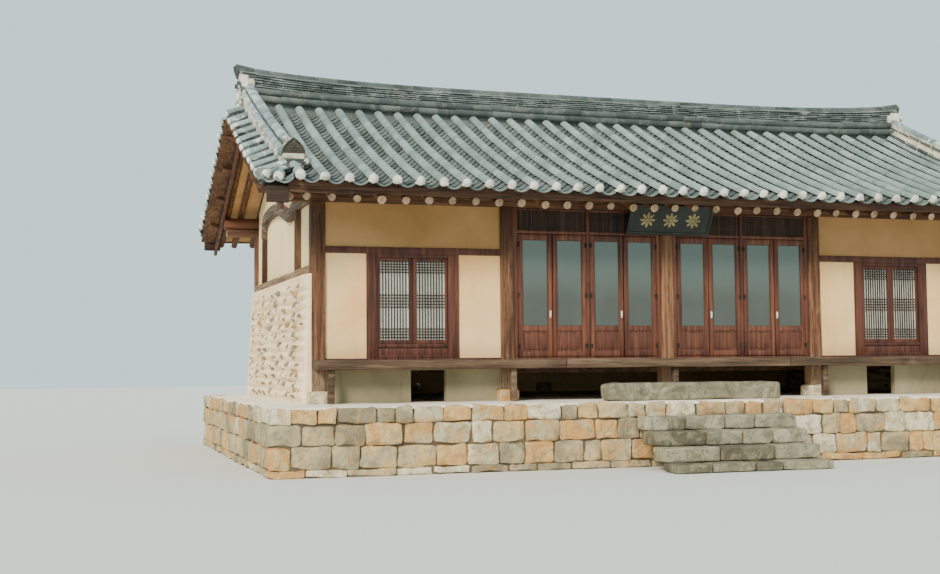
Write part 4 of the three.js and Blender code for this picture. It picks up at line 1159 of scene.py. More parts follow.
def eave_board(turn):
    """A strip whose upper edge follows the dished plates: it is lowest at the troughs' middles."""
    bm = bench()
    columns = int(2 * VERGE_SEAM / TILE_PITCH * BOARD_PARTS)
    bmesh.ops.create_grid(bm, x_segments=columns, y_segments=1, size=0.5)
    foot = RAFTER_TIP_Z + RAFTER_RADIUS + 0.010
    for vert in bm.verts:
        x = vert.co.x * 2 * VERGE_SEAM
        off = abs(((x / TILE_PITCH) % 1.0) - 0.5) * 2
        shelf = roll_height(BOARD_FRONT) + roof_shift(x) - BOARD_DROP
        top = shelf - 0.008 + SCALLOP * (1 - math.sqrt(max(0.0, 1 - off ** 2)))
        vert.co = Vector((x, -BOARD_FRONT, top if vert.co.y > 0 else foot))
    fresh, _ = drawn_out(bm)
    bmesh.ops.translate(bm, vec=(0, BOARD_FRONT - BOARD_BACK, 0), verts=fresh)
    # The corner blocks take the second, darker finish: painted shade.
    for side in SIDES.values():
        corners = [(side * x, y, z) for x, y, z in (CORNER_LOW, CORNER_HIGH)]
        for vert in block(bm, *corners):
            for face in vert.link_faces:
                face.material_index = 1
    outward(bm)
    bmesh.ops.transform(bm, matrix=turn, verts=bm.verts)
    return bm


for name, turn in SLOPES.items():
    new_piece(f"rafter_logs_{name}", build_rafters(turn, random.Random(61)), [TIMBER["y"], LOG_END],
              [f"rafters_{name}"])
    new_piece(f"eave_board_{name}", eave_board(turn), [EAVE_WOOD_PAINTED_SHADE, CORNER_WOOD_PAINTED_SHADE], soft=25)

# %% [markdown]
# The packed earth under the tiles has the right shape in the frame, so its node stays
# and takes a finish. The faces that look down between the rafters are plastered.

# %% Roof bed
def finish_nodes(finish, *names):
    """Gives frame nodes whose shape is right their finish."""
    for name in names:
        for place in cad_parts[name].material_slots:
            place.material = finish


def bed_plaster_and_painted_shade():
    """Plaster on the faces that look down, and dark brown on the rest: painted shade where the bed shows
    between the tiles.
    """
    earth = Finish("roof_bed_painted_shade", 0.95, 0.2)
    plaster = earth.ramp(earth.noise(0.8, 5.0, 0.6, 0.3), (0.32, "b48a5c"), (0.62, "cfa676"))
    upright = earth.height(earth.node("ShaderNodeNewGeometry").outputs["Normal"])
    # The dark brown on every face that does not look down is painted shade.
    body = earth.patches(plaster, (earth.noise(2.4, 5.0, 0.6, 0.4), 0.5, 0.7, "8f6a46", 0.5),
                         (upright, -0.4, -0.2, "3b352d", 1.0))
    return earth.done(body, (earth.noise(6, 4.0, 0.55, 0.6), 0.004))


finish_nodes(bed_plaster_and_painted_shade(), "roof_bed")

# %% [markdown]
# Steps and stepping stone. Each tread is three long cut stones side by side, their
# edges rounded by wear. The stepping stone under the ledge is one long block.

# %% Steps
STEP_HALF, STEP_TREAD, STEP_FRONT, STEP_LAP = 1.05, 0.28, 4.81, 0.12
STEP_TOPS = [0.105, 0.281, 0.457, 0.633]
STEPPING_HALF, STEPPING_TOP, STEPPING_Y = 1.225, 1.032, (-3.33, -2.965)


def build_steps(dice):
    bm = bench()
    for row, (below, top) in enumerate(zip([0.0] + STEP_TOPS, STEP_TOPS)):
        front = -STEP_FRONT + row * STEP_TREAD
        back = min(front + STEP_TREAD + STEP_LAP, -PLATFORM_FRONT - 0.001)
        x = -STEP_HALF
        for width in course_widths(dice, 2 * STEP_HALF, 0.5, 0.95):
            lean = diced(dice, *[(-0.5, 0.5)] * 3)
            rough_stone(bm, (x + 0.004, front, below + 0.004), (x + width - 0.004, back, top),
                        dice.uniform(0, 90), dice.random(), 7, 0.010, 13.0, lean)
            x += width
    return bm


new_piece("step_stones", build_steps(random.Random(71)), STEP_STONE, ["front_steps"])
stepping = bench()
rough_stone(stepping, (-STEPPING_HALF, STEPPING_Y[0], PLATFORM_TOP),
            (STEPPING_HALF, STEPPING_Y[1], STEPPING_TOP), 5, 0.75, 14, 0.014, 14.0)
new_piece("long_stepping_stone", stepping, STEP_STONE, ["stepping_stone"])

# %% [markdown]
# The gable walls are rubble laid in earth and pointed over with pale lime mortar, so
# that only the noses of the stones look out. The mortar skin is a fine grid: its courses
# bulge, it is drawn in round each nose and sunk in the open pockets, all from places
# drawn beforehand. Each nose is a flattened stone set into it.

# %% Gable walls
RUBBLE_INNER, RUBBLE_FOOT, RUBBLE_TOP = 4.75, 5.04, 4.96
RUBBLE_Y, RUBBLE_Z = (-2.485, 2.305), (0.81, 2.437)
RUBBLE_COURSE, FIRST_COURSE = 0.127, 0.10
SPOTS_FROM, SPOTS_TO, SPOTS_END = -2.38, 2.15, 2.26
CORNER_REACH, CORNER_PULL = 0.26, 0.055
NOSE_DEPTH, POCKET_DEPTH, CALM_RIM = 0.014, 0.024, 0.12
BIG_NOSES = [(-1.78, 1.24, 0.21, 0.050), (-1.95, 0.99, 0.22, 0.070), (-1.15, 1.82, 0.20, 0.048),
             (-1.80, 1.43, 0.15, 0.040), (-0.85, 2.17, 0.14, 0.042), (-1.55, 1.10, 0.17, 0.040)]


# The pocket colour, laid where the shade mark is low, is painted shade in the pockets, round the noses and
# under each course, and in the pockets also the grey of bare stone.
def mortar(name, pale, deep, stain, pocket_painted_shade):
    skin = Finish(name, 0.95, 0.2)
    lumps = skin.noise(9, 5.0, 0.6, 0.5)
    body = skin.ramp(skin.noise(1.4, 5.0, 0.6, 0.4), (0.35, deep), (0.62, pale))
    body = skin.patches(body, (lumps, 0.54, 0.68, stain, 0.7), (skin.shade(), 0.42, 0.05, pocket_painted_shade, 0.85))
    return skin.done(body, (lumps, 0.010), (skin.noise(42, 4.0, 0.65), 0.002))


MORTAR = mortar("pale_mortar", "fde4be", "f3cf9f", "dcb17c", "6b6250")


def rubble_x(y, z):
    """The wall leans in towards its top, and is rounded off towards the front post."""
    share = (z - RUBBLE_Z[0]) / (RUBBLE_Z[1] - RUBBLE_Z[0])
    near = max(0.0, 1 - (y - RUBBLE_Y[0]) / CORNER_REACH)
    return RUBBLE_FOOT + (RUBBLE_TOP - RUBBLE_FOOT) * share - CORNER_PULL * near ** 2


def rubble_spots(dice, lengths, heights, gaps):
    """Places (y, z, half length, half height) along the courses."""
    spots = []
    z = RUBBLE_Z[0] + FIRST_COURSE
    while z < RUBBLE_Z[1] - 0.07:
        y = SPOTS_FROM + dice.uniform(0, gaps[1])
        while y < SPOTS_TO:
            length = min(dice.uniform(*lengths), SPOTS_END - y)
            shift, high = diced(dice, (-0.022, 0.022), heights)
            spots.append((y + length / 2, z + shift, length / 2, high))
            y += length + dice.uniform(*gaps)
        z += RUBBLE_COURSE
    return spots


def sunk_at(side, y, z, noses):
    """How far the mortar is drawn in round the noses, 0 to about 1."""
    sunk = 0.0
    for ny, nz, half, high in noses:
        if abs(y - ny) < 2 * half and abs(z - nz) < 2.6 * high:
            near = ((y - ny) / (half * 1.15)) ** 2 + ((z - nz) / (high * 1.30)) ** 2
            torn = 0.5 + 1.0 * noise.noise(Vector((3.0 * side, y * 4, z * 14)))
            sunk = max(sunk, torn * (math.exp(-(near - 1) ** 2 * 3.5) - (0.35 if near < 0.8 else 0)))
    return sunk


def open_at(y, z, pockets):
    """How far a pocket is open, 0 to 1."""
    deepest = 0.0
    for py, pz, half, high in pockets:
        if abs(y - py) < 2 * half and abs(z - pz) < 2.2 * high:
            near = ((y - py) / half) ** 2 + ((z - pz) / high) ** 2
            deepest = max(deepest, math.exp(-near * near * 0.8))
    return deepest


def mortar_skin(side, noses, pockets):
    """Bulging courses of mortar, drawn in round the noses, with deep pockets left open."""
    bm = bench()
    bmesh.ops.create_grid(bm, x_segments=260, y_segments=92, size=0.5)
    (y0, y1), (z0, z1) = RUBBLE_Y, RUBBLE_Z
    mark = bm.verts.layers.float["shade"]
    for vert in bm.verts:
        y = y0 + (vert.co.x + 0.5) * (y1 - y0)
        z = z0 + (vert.co.y + 0.5) * (z1 - z0)
        calm = min(1.0, max(0.0, min(y - y0, y1 - y, z1 - z) - 0.01) / CALM_RIM)
        sunk, opened = sunk_at(side, y, z, noses), open_at(y, z, pockets)
        wander = 0.03 * noise.noise(Vector((0.0, y * 1.3, z * 1.3)))
        bulge = math.cos((z - z0 - FIRST_COURSE + wander) / RUBBLE_COURSE * math.tau)
        level = Vector((7.0 * side, y * 1.6, z * 7))
        shape = 0.017 * bulge + 0.012 * noise.noise(level) + 0.008 * noise.noise(level * 2.7)
        shape = shape + 0.004 * noise.noise(Vector((7.0 * side, y, z)) * 19)
        x = rubble_x(y, z) - 0.014 + (shape - NOSE_DEPTH * sunk - POCKET_DEPTH * opened) * calm
        vert.co = Vector((side * x, y, z))
        # The mark darkens the pockets, the rings round the noses and the underside of each course: painted
        # shade, and in the pockets also bare stone.
        vert[mark] = 0.5 - (0.16 * sunk + 0.62 * opened + 0.24 * max(0.0, -bulge)) * calm
    fresh, _ = drawn_out(bm)
    for vert in fresh:
        vert.co.x = side * RUBBLE_INNER
    outward(bm)
    return bm


def rubble_stones(dice, side, noses):
    bm = bench()
    for y, z, half, high in noses:
        out = side * (rubble_x(y, z) - 0.060)
        deep = 0.050 + dice.uniform(-0.006, 0.004)
        rough_stone(bm, (out - deep, y - half, z - high), (out + deep, y + half, z + high),
                    dice.uniform(0, 90), dice.random(), 3, 0.018, 3.4, [dice.uniform(-9, 9), 0, 0])
    return bm


for name, side in SIDES.items():
    noses = BIG_NOSES + rubble_spots(random.Random(81), (0.22, 0.50), (0.030, 0.046), (0.45, 1.4))
    pockets = rubble_spots(random.Random(83), (0.10, 0.46), (0.013, 0.035), (0.10, 0.62))
    new_piece(f"gable_mortar_{name}", mortar_skin(side, noses, pockets), MORTAR,
              [f"stone_wall_{name}"], soft=50)
    new_piece(f"gable_stones_{name}", rubble_stones(random.Random(82), side, noses), RUBBLE,
              soft=50)

# %% [markdown]
# Plaster fields. Their flat shapes are right in the frame, so each keeps its node and
# takes a finish. On the front the earth plaster is a deep ochre above the middle rail,
# darkened further as painted shade under the eave, and pale below it. The low wall is
# greyish plaster, darkened as painted shade under the ledge.

# %% Plaster fields
def front_plaster_and_painted_shade():
    plaster = Finish("front_plaster_and_painted_shade", 0.95, 0.2)
    clouds, height = plaster.noise(0.9, 5.0, 0.6, 0.3), plaster.height()
    low = plaster.ramp(clouds, (0.32, "ebb576"), (0.62, "f9d298"))
    # The deep ochre above the middle rail is plaster colour and painted shade under the eave together.
    high = plaster.ramp(clouds, (0.32, "9e784a"), (0.64, "b98e60"))
    body = plaster.mix(plaster.band(height, 2.71, 2.77), low, high)
    streaks = plaster.noise(1.6, 4.0, 0.6, 0.2, plaster.stretched((3.2, 3.2, 0.5)))
    body = plaster.patches(body, (height, 1.62, 1.36, "d3a878", 0.5), (streaks, 0.56, 0.78, "c39a6a", 0.35))
    trowel, sand = plaster.noise(5, 4.0, 0.55, 0.6), plaster.noise(60, 3.0, 0.6)
    return plaster.done(body, (trowel, 0.003), (sand, 0.0012))


for finish, field in ((front_plaster_and_painted_shade(), "front_wall"), (LOW_WALL_PLASTER_PAINTED_SHADE, "base_wall"),
                      (GABLE_PLASTER, "gable_wall")):
    finish_nodes(finish, *[f"{field}_{side}" for side in SIDES])
finish_nodes(PLASTER, "rear_wall")
print("plaster fields:", 3 * len(SIDES) + 1)

# %% [markdown]
# A squared timber is a box with eased edges, sliced along its length so that it can
# sway a little, as hewn wood does. Its sawn ends go into the second finish.

# %% Helpers for timbers
SHARP = math.radians(30)


def round_edges(bm, edges, ease):
    bmesh.ops.bevel(bm, geom=edges, offset=ease, offset_type="OFFSET", segments=2, profile=0.5,
                    affect="EDGES", clamp_overlap=True, material=-1)


def slice_at(bm, spots, along):
    """Cuts a mesh at some points, across a direction."""
    for spot in spots:
        everything = bm.verts[:] + bm.edges[:] + bm.faces[:]
        bmesh.ops.bisect_plane(bm, geom=everything, plane_co=spot, plane_no=along)


def beam(bm, first, second, seed, ease, wear, shade, step=0.35):
    """One squared timber between two corners."""
    low, high = box(first, second)
    part = bench()
    block(part, low, high)
    round_edges(part, part.edges[:], ease)
    size = [b - a for a, b in zip(low, high)]
    axis = size.index(max(size))
    along = Vector([float(k == axis) for k in range(3)])
    slices = max(1, int(size[axis] / step))
    slice_at(part, [Vector(low) + along * (size[axis] * k / slices) for k in range(1, slices)], along)
    part.normal_update()
    for face in part.faces:
        face.material_index = int(abs(face.normal[axis]) > 0.9)
    for vert in part.verts:
        vert.co += stroke(vert.co, seed, 1.6, wear) + stroke(vert.co, seed + 4, 8.0, wear * 0.5)
    shape = pattern(part)
    stamp(bm, shape, Matrix.Identity(4), shade)
    bpy.data.meshes.remove(shape)


def diced_beam(bm, first, second, dice, ease, wear, step=0.35):
    beam(bm, first, second, dice.uniform(0, 90), ease, wear, dice.random(), step)


def timber_piece(name, seed, boxes, finish, stands_for=(), ease=0.007, wear=0.003):
    """A piece of timbers, each given by two corners."""
    dice, bm = random.Random(seed), bench()
    for corners in boxes:
        diced_beam(bm, *corners, dice, ease, wear)
    new_piece(name, bm, finish, stands_for)


def node_copy(name):
    """The merged mesh of a frame node, without the lines inside its flat faces."""
    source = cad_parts[name]
    bm = bench()
    bm.from_mesh(source.data)
    bmesh.ops.transform(bm, matrix=source.matrix_world, verts=bm.verts)
    bmesh.ops.remove_doubles(bm, verts=bm.verts, dist=1e-4)
    bmesh.ops.dissolve_limit(bm, angle_limit=math.radians(1), verts=bm.verts, edges=bm.edges)
    mark_shade(bm, bm.verts, 0.5)
    return bm


def worn_copy(name, ease, wear, seed, step):
    """A node's copy with its sharp edges rounded, sliced along Y so that it can sway."""
    bm = node_copy(name)
    sharp = [edge for edge in bm.edges if edge.is_manifold and edge.calc_face_angle() > SHARP]
    round_edges(bm, sharp, ease)
    low, high = [pick(vert.co.y for vert in bm.verts) for pick in (min, max)]
    along = Vector((0, 1, 0))
    slice_at(bm, [along * (low + k * step) for k in range(1, int((high - low) / step))], along)
    for vert in bm.verts:
        vert.co += stroke(vert.co, seed, 2.2, wear) + stroke(vert.co, seed + 4, 11.0, wear * 0.6)
    return bm


# %% [markdown]
# Posts and beams of the main frame. The front posts are squared pine, weathered on their
# outer side; their finish greys only the foot. Purlins are whole logs. The pieces that
# stand for a node keep its size, so the joints between them still close.

# %% Posts and beams
POST_HALF, POST_FOOT, POST_HEAD = 0.09, 0.965, 3.34
HEAD_REACH, HEAD_HALF, HEAD_TOP = 5.34, 0.065, 3.456
PURLIN_REACH, PURLIN_RADIUS = 5.38, 0.0945
WALL_PURLIN, RIDGE_PURLIN = 3.552, 4.644
SILL, REAR_RAIL, REAR_Y = (1.23, 1.37), (2.20, 2.285), (2.38, 2.47)
CROSS_HALF, CROSS_Y, CROSS_TOP = 0.10, 2.29, 3.56
KING_HALF, KING_Z = 0.08, (3.555, 4.549)


def post_wood_and_painted_shade(name, dark, middle, light, grey):
    """Pine with long grain, darker towards its head as painted shade under the eave, grey at its weathered
    foot.
    """
    wood = Finish(name, 0.78, 0.3)
    grain, fine = grain_of(wood, "z")
    height = wood.height()
    blotches = wood.noise(1.7, 5.0, 0.6, 0.5, wood.stretched((2.5, 2.5, 0.7)))
    body = wood.ramp(wood.moved(grain, wood.shade(), 0.18), (0.3, dark), (0.5, middle), (0.7, light))
    # Darker towards the head: painted shade under the eave.
    body = wood.patches(body, (blotches, 0.5, 0.68, light, 0.6), (height, 2.5, 3.3, dark, 0.55))
    foot = wood.sum("MULTIPLY", wood.band(height, 1.5, 1.0), wood.band(fine, 0.35, 0.6))
    body = wood.mix(wood.sum("MULTIPLY", foot, 0.6), body, paint(grey))
    body = wood.patches(body, (fine, 0.44, 0.36, dark, 0.7))
    return wood.done(body, (grain, 0.005), (wood.band(fine, 0.36, 0.44), 0.003))


def upright(x, y, half, low, high):
    """The corners of a square post round (x, y)."""
    return (x - half, y - half, low), (x + half, y + half, high)


def purlins(dice, *lines):
    """Logs along X, one at each (y, z)."""
    bm = bench()
    for y, z in lines:
        start, end = [Vector((x, y, z)) for x in (-PURLIN_REACH, PURLIN_REACH)]
        shape = log(dice, (end - start).length, PURLIN_RADIUS, 16, 14)
        turn = (start - end).to_track_quat("Y", "Z").to_matrix().to_4x4()
        stamp(bm, shape, Matrix.Translation(start) @ turn, dice.random())
        bpy.data.meshes.remove(shape)
    return bm


POST_WOOD = [post_wood_and_painted_shade("post_wood_and_painted_shade", "3a261b", "6d4831", "9b7150", "ab9579"), LOG_END]
front_posts, rear_posts = [[upright(x, y, POST_HALF, POST_FOOT, POST_HEAD) for x in POST_X]
                           for y in (-WALL_Y, WALL_Y)]
rails = [((a + POST_HALF, REAR_Y[0], low), (b - POST_HALF, REAR_Y[1], high))
         for low, high in (SILL, REAR_RAIL) for a, b in zip(POST_X, POST_X[1:])]
heads = [((-HEAD_REACH, y - HEAD_HALF, POST_HEAD), (HEAD_REACH, y + HEAD_HALF, HEAD_TOP))
         for y in (-WALL_Y, WALL_Y)]
crossings = []
for x in POST_X[1:-1]:
    crossings.append(((x - CROSS_HALF, -CROSS_Y, POST_HEAD), (x + CROSS_HALF, CROSS_Y, CROSS_TOP)))
    crossings.append(upright(x, 0, KING_HALF, *KING_Z))

timber_piece("posts_front", 91, front_posts, POST_WOOD,
             [f"front_post_{k}" for k in range(1, 6)], 0.010, 0.006)
timber_piece("posts_rear", 92, rear_posts + rails, POST_WOOD, ["rear_frame"], wear=0.005)
timber_piece("head_beams", 93, heads, [TIMBER["x"], LOG_END],
             ["head_beam_front", "head_beam_rear"], 0.010, 0.004)
logs = purlins(random.Random(94), (-WALL_Y, WALL_PURLIN), (WALL_Y, WALL_PURLIN), (0, RIDGE_PURLIN))
new_piece("purlin_logs", logs, [RED_TIMBER["x"], LOG_END],
          ["purlin_front", "purlin_rear", "ridge_purlin"])
timber_piece("cross_timbers", 95, crossings, [TIMBER["y"], LOG_END],
             ["cross_beam_1", "cross_beam_2", "cross_beam_3"], 0.012, 0.010)

# %% [markdown]
# The gable frames. The crooked beam was a naturally bent trunk, so its copy of the node
# is rounded strongly and broken by knots. The boards along the verge close the rafters,
# and outside them planks and cross blocks carry the side tiles.

# %% Gable timbers
GABLE_IN, GABLE_OUT = 4.78, 4.915
BARS = [(-1.45, 3.49), (1.45, 3.20)]
BAR_HALF_WIDTH, BAR_FOOT = 0.055, 2.54
RAIL_Y, RAIL_Z = 2.309, (2.442, 2.545)
TRUNK_SWELL, TRUNK_MIDDLE, TRUNK_PROUD = 0.024, 4.83, 0.055
KNOTS = [(-1.95, 0.22, 1.0), (-1.0, 0.16, 0.6)]
PLANK_IN, PLANK_OUT, PLANK_RUN = 5.435, 5.655, 3.36
CROSS_BLOCKS, BLOCK_FIRST, BLOCK_PITCH = 4, 0.35, 0.88
BLOCK_IN, BLOCK_OUT, BLOCK_WIDE, BLOCK_DROP = 5.43, (5.54, 5.59), 0.10, 0.085
BAR_TIMBER = timber("gable_bar", "z", "291b15", "483022", "6d513c", 0.3, 0.85)
TRUNK_WOOD = timber("trunk_wood", "y", "2d251e", "5b4b3d", "8b7966", 0.35, 0.9)


def crooked_trunk(name, seed):
    bm = worn_copy(name, 0.028, 0.010, seed, 0.12)
    bm.normal_update()
    for vert in bm.verts:
        vert.co += Vector((0, vert.normal.y, vert.normal.z)) * TRUNK_SWELL
        if abs(vert.co.x) > TRUNK_MIDDLE:
            vert.co.x += math.copysign(TRUNK_PROUD, vert.co.x)
        knot = sum(size * math.exp(-((vert.co.y - y) / reach) ** 2) for y, reach, size in KNOTS)
        vert.co += stroke(vert.co, seed + 7, 9.0, 0.022) * knot
    return bm


def verge_underside(dice):
    """Planks under the verge and the blocks across them, along both slopes."""
    bm = bench()
    length = PLANK_RUN / math.cos(RAFTER_ANGLE)
    for turn in SLOPES.values():
        tilted = turn @ at(0, 0, RAFTER_TOP) @ Matrix.Rotation(RAFTER_ANGLE, 4, "X")
        for side in SIDES.values():
            along = 0.03
            while along < length - 0.2:
                run = min(dice.uniform(0.14, 0.22), length - along)
                block(bm, (side * PLANK_IN, -along - run + 0.005, -0.016),
                      (side * PLANK_OUT, -along, -0.002), dice.random(), tilted)
                along += run
            for k in range(CROSS_BLOCKS):
                spot = BLOCK_FIRST + BLOCK_PITCH * k + dice.uniform(-0.05, 0.05)
                near = side * BLOCK_IN, -spot - BLOCK_WIDE, -BLOCK_DROP
                block(bm, near, (side * dice.uniform(*BLOCK_OUT), -spot, -0.016), dice.random(), tilted)
    return bm


for name, side in SIDES.items():
    near, far = side * GABLE_IN, side * GABLE_OUT
    bars = [((near, y - BAR_HALF_WIDTH, BAR_FOOT), (far, y + BAR_HALF_WIDTH, top)) for y, top in BARS]
    timber_piece(f"gable_bars_{name}", 96, bars, [BAR_TIMBER, LOG_END],
                 [f"gable_frame_{name}"], wear=0.006)
    rail = ((near, -RAIL_Y, RAIL_Z[0]), (far, RAIL_Y, RAIL_Z[1]))
    timber_piece(f"gable_rail_{name}", 98, [rail], [OLD_TIMBER, LOG_END], wear=0.008)
    new_piece(f"crooked_trunk_{name}", crooked_trunk(f"crooked_beam_{name}", 12), TRUNK_WOOD,
              [f"crooked_beam_{name}"], soft=60)
    new_piece(f"verge_board_{name}", worn_copy(f"bargeboard_{name}", 0.006, 0.004, 14, 0.4),
              RED_TIMBER["y"], [f"bargeboard_{name}"])
new_piece("verge_underside", verge_underside(random.Random(97)), TIMBER["y"])

# %% [markdown]
# Floor and ledge. The floor is boards between joists. The ledge is thick planks, end
# to end over short legs, grey-brown and rounded by everyone who sat there.

# %% Floor and ledge
FLOOR_REACH_X, FLOOR_Z, JOIST_Z = 4.738, (1.292, 1.35), (1.16, 1.291)
FLOOR_BACK, FLOOR_AT_POST, FLOOR_BETWEEN = 2.268, -2.305, -2.363
PLANK_ENDS, PLANK_Y, PLANK_Z = [-4.87, -1.6, 1.7, 4.87], (-2.788, -2.492), (1.232, 1.350)
LEG_X, LEG_Y, LEG_HALF, LEG_TOP = [-4.68, -2.3, 0.0, 2.3, 4.68], -2.68, 0.04, 1.235
LEDGE_WOOD = timber("ledge_wood", "x", "32271e", "564231", "7c6650", 0.5, 0.8)


def floor_boxes(dice):
    boxes = []
    x = -FLOOR_REACH_X
    while x < 4.7:
        width = min(dice.uniform(0.18, 0.30), FLOOR_REACH_X - x)
        free = all(abs(x + width / 2 - post) > POST_HALF + width / 2 for post in POST_X)
        front = FLOOR_BETWEEN if free else FLOOR_AT_POST
        boxes.append(((x + 0.002, front, FLOOR_Z[0]), (x + width - 0.002, FLOOR_BACK, FLOOR_Z[1])))
        x += width
    return boxes + [((-4.73, y - 0.07, JOIST_Z[0]), (4.73, y + 0.07, JOIST_Z[1])) for y in (-1.5, 0, 1.5)]


planks = [((a + 0.002, PLANK_Y[0], PLANK_Z[0]), (b - 0.002, PLANK_Y[1], PLANK_Z[1]))
          for a, b in zip(PLANK_ENDS, PLANK_ENDS[1:])]
legs = [upright(x, LEG_Y, LEG_HALF, PLATFORM_TOP + 0.002, LEG_TOP) for x in LEG_X]
timber_piece("floor_boards", 101, floor_boxes(random.Random(102)), [OLD_TIMBER] * 2,
             ["floor"], 0.003, 0.001)
timber_piece("ledge_planks", 103, planks + legs, [LEDGE_WOOD] * 2, ["front_ledge"],
             0.013, 0.008)

# %% [markdown]
# The outer bays: a stout window frame, and a pair of leaves with a lattice of thin bars
# over pale paper, close-set crossbars at the top, middle and bottom as is the custom.
# Bars are plain thin boxes; a grid texture would look flat from the side.

# %% Windows
WINDOW_X, INNER, OUTER = 3.570, 0.465, 0.610
BAY_LEFT, BAY_RIGHT = 4.7097, 2.3903
LEAF_Z, LEAF_RAILS = (1.5533, 2.6517), (1.604, 2.616)
LATTICE_HALF = 0.0062
LEVELS = [start - step * k for start, step, count in ((2.604, 0.034, 5), (2.176, 0.038, 5), (1.744, 0.036, 4))
          for k in range(count)]
# Timbers of the frame: x from and to, as bay edges or off the window's middle, z from and to, front.
WINDOW_TIMBERS = [(BAY_LEFT, BAY_RIGHT, *SILL, 2.475), (BAY_LEFT, BAY_RIGHT, 2.70, 2.785, 2.475),
                  (WINDOW_X - OUTER, WINDOW_X - INNER, 1.369, 2.701, 2.475),
                  (WINDOW_X + INNER, WINDOW_X + OUTER, 1.369, 2.701, 2.475)]
WINDOW_TIMBERS += [(WINDOW_X - INNER, WINDOW_X + INNER, low, high, front) for low, high, front in (
    (1.508, 1.553, 2.475), (2.652, 2.701, 2.470), (1.369, 1.412, 2.475), (1.41, 1.51, 2.458))]


def paper():
    sheet = Finish("paper", 0.9, 0.2)
    fibres = sheet.noise(24, 5.0, 0.7, 0.4)
    body = sheet.ramp(sheet.noise(1.7, 4.0, 0.6, 0.2), (0.35, "b9bdb4"), (0.65, "dcdcd0"))
    body = sheet.patches(body, (fibres, 0.55, 0.7, "a9a899", 0.3))
    return sheet.done(body, (fibres, 0.0008))


PAPER = paper()
WINDOW_WOOD = timber("window_wood", "z", "2f1a12", "522c20", "71422f", 0.25, 0.6)
BAR_WOOD = timber("bar_wood", "z", "241a16", "3a2a22", "5a4234", 0.2, 0.7)


def wall_boxes(side, timbers, back):
    """Corner pairs of (x from, x to, z from, z to, front) timbers on one side of the middle."""
    return [((side * x0, -front, z0), (side * x1, -back, z1)) for x0, x1, z0, z1, front in timbers]


def lattice(bm, x0, x1, z0, z1, front, back, columns, levels, dice):
    """Thin upright bars between x0 and x1, and crossbars at the given heights."""
    for k in range(1, columns + 1):
        x = x0 + (x1 - x0) * k / (columns + 1) + dice.uniform(-0.001, 0.001)
        block(bm, (x - LATTICE_HALF, front, z0), (x + LATTICE_HALF, back, z1), dice.random())
    for z in levels:
        block(bm, (x0, front + 0.0015, z - LATTICE_HALF), (x1, back, z + LATTICE_HALF), dice.random())


def window_leaves(side, dice):
    wood, bars, sheets = bench(), bench(), bench()
    z0, z1 = LEAF_Z
    for way in (1, -1):
        edges = [(way * 0.003, way * 0.053), (way * 0.430, way * 0.462)]
        for pair in edges:
            a, b = sorted(side * WINDOW_X + value for value in pair)
            diced_beam(wood, (a, -2.450, z0), (b, -2.416, z1), dice, 0.003, 0.001)
        a, b = sorted(side * WINDOW_X + value for value in (edges[0][1], edges[1][0]))
        for low, high in ((z0, LEAF_RAILS[0]), (LEAF_RAILS[1], z1)):
            diced_beam(wood, (a, -2.449, low), (b, -2.417, high), dice, 0.003, 0.001)
        lattice(bars, a, b, 1.600, 2.620, -2.442, -2.426, 9, LEVELS, dice)
        block(sheets, (a - 0.004, -2.4262, 1.596), (b + 0.004, -2.4222, 2.622))
    return wood, bars, sheets


for name, side in SIDES.items():
    timber_piece(f"window_timbers_{name}", 111, wall_boxes(side, WINDOW_TIMBERS, 2.395),
                 [WINDOW_WOOD] * 2, [f"window_frame_{name}"], 0.005, 0.002)
    wood, bars, sheets = window_leaves(side, random.Random(112))
    new_piece(f"window_stiles_{name}", wood, [WINDOW_WOOD] * 2, [f"window_leaves_{name}"])
    new_piece(f"window_lattice_{name}", bars, BAR_WOOD)
    new_piece(f"window_paper_{name}", sheets, PAPER)

# %% [markdown]
# The door bays. The frame is oiled red-brown. Behind the fine lattice of the transom is a
# dark sheet, painted shade for the dark room behind it. Each leaf has two stiles and three
# rails, a pane above and a wooden panel below. The pane is dark grey-green, painted shade
# for the room behind it; it reflects the sky, and a painted reflection of the sky lightens
# it towards its top. The inner lattice shows through it as a faint grid.

# %% Door finishes
GRID_SCALE = 15.7


def pane():
    glass = Finish("pane", 0.10, 0.5)
    # Painted shade of the room behind the glass below, and a lighter painted reflection of the sky towards
    # the top.
    body = glass.mix(glass.band(glass.height(), 2.1, 2.7), paint("4c4f48"), paint("66736c"))
    waves = []
    for way in "XZ":
        settings = {"wave_type": "BANDS", "bands_direction": way}
        wave = glass.node("ShaderNodeTexWave", settings, Scale=GRID_SCALE, Vector=glass.where)
        waves.append(glass.band(wave.outputs["Fac"], 0.86, 0.97))
    body = glass.patches(body, (glass.noise(1.1, 3.0, 0.5, 0.3), 0.4, 0.7, "5b6660", 0.4))
    grid = glass.sum("MULTIPLY", glass.sum("MAXIMUM", *waves), 0.22)
    return glass.done(glass.mix(grid, body, paint("3a3f39")), (glass.noise(2.4, 2.0, 0.5), 0.0015))


def plain(name, roughness, gloss, clouds, stops, depth):
    """A finish of one noise, which also gives its relief."""
    made = Finish(name, roughness, gloss)
    tone = made.noise(*clouds)
    return made.done(made.ramp(tone, *stops), (tone, depth))


DOOR_WOOD = [timber("door_wood_z", "z", "361d14", "5f3525", "845036", 0.25, 0.45)] * 2
PANE = pane()
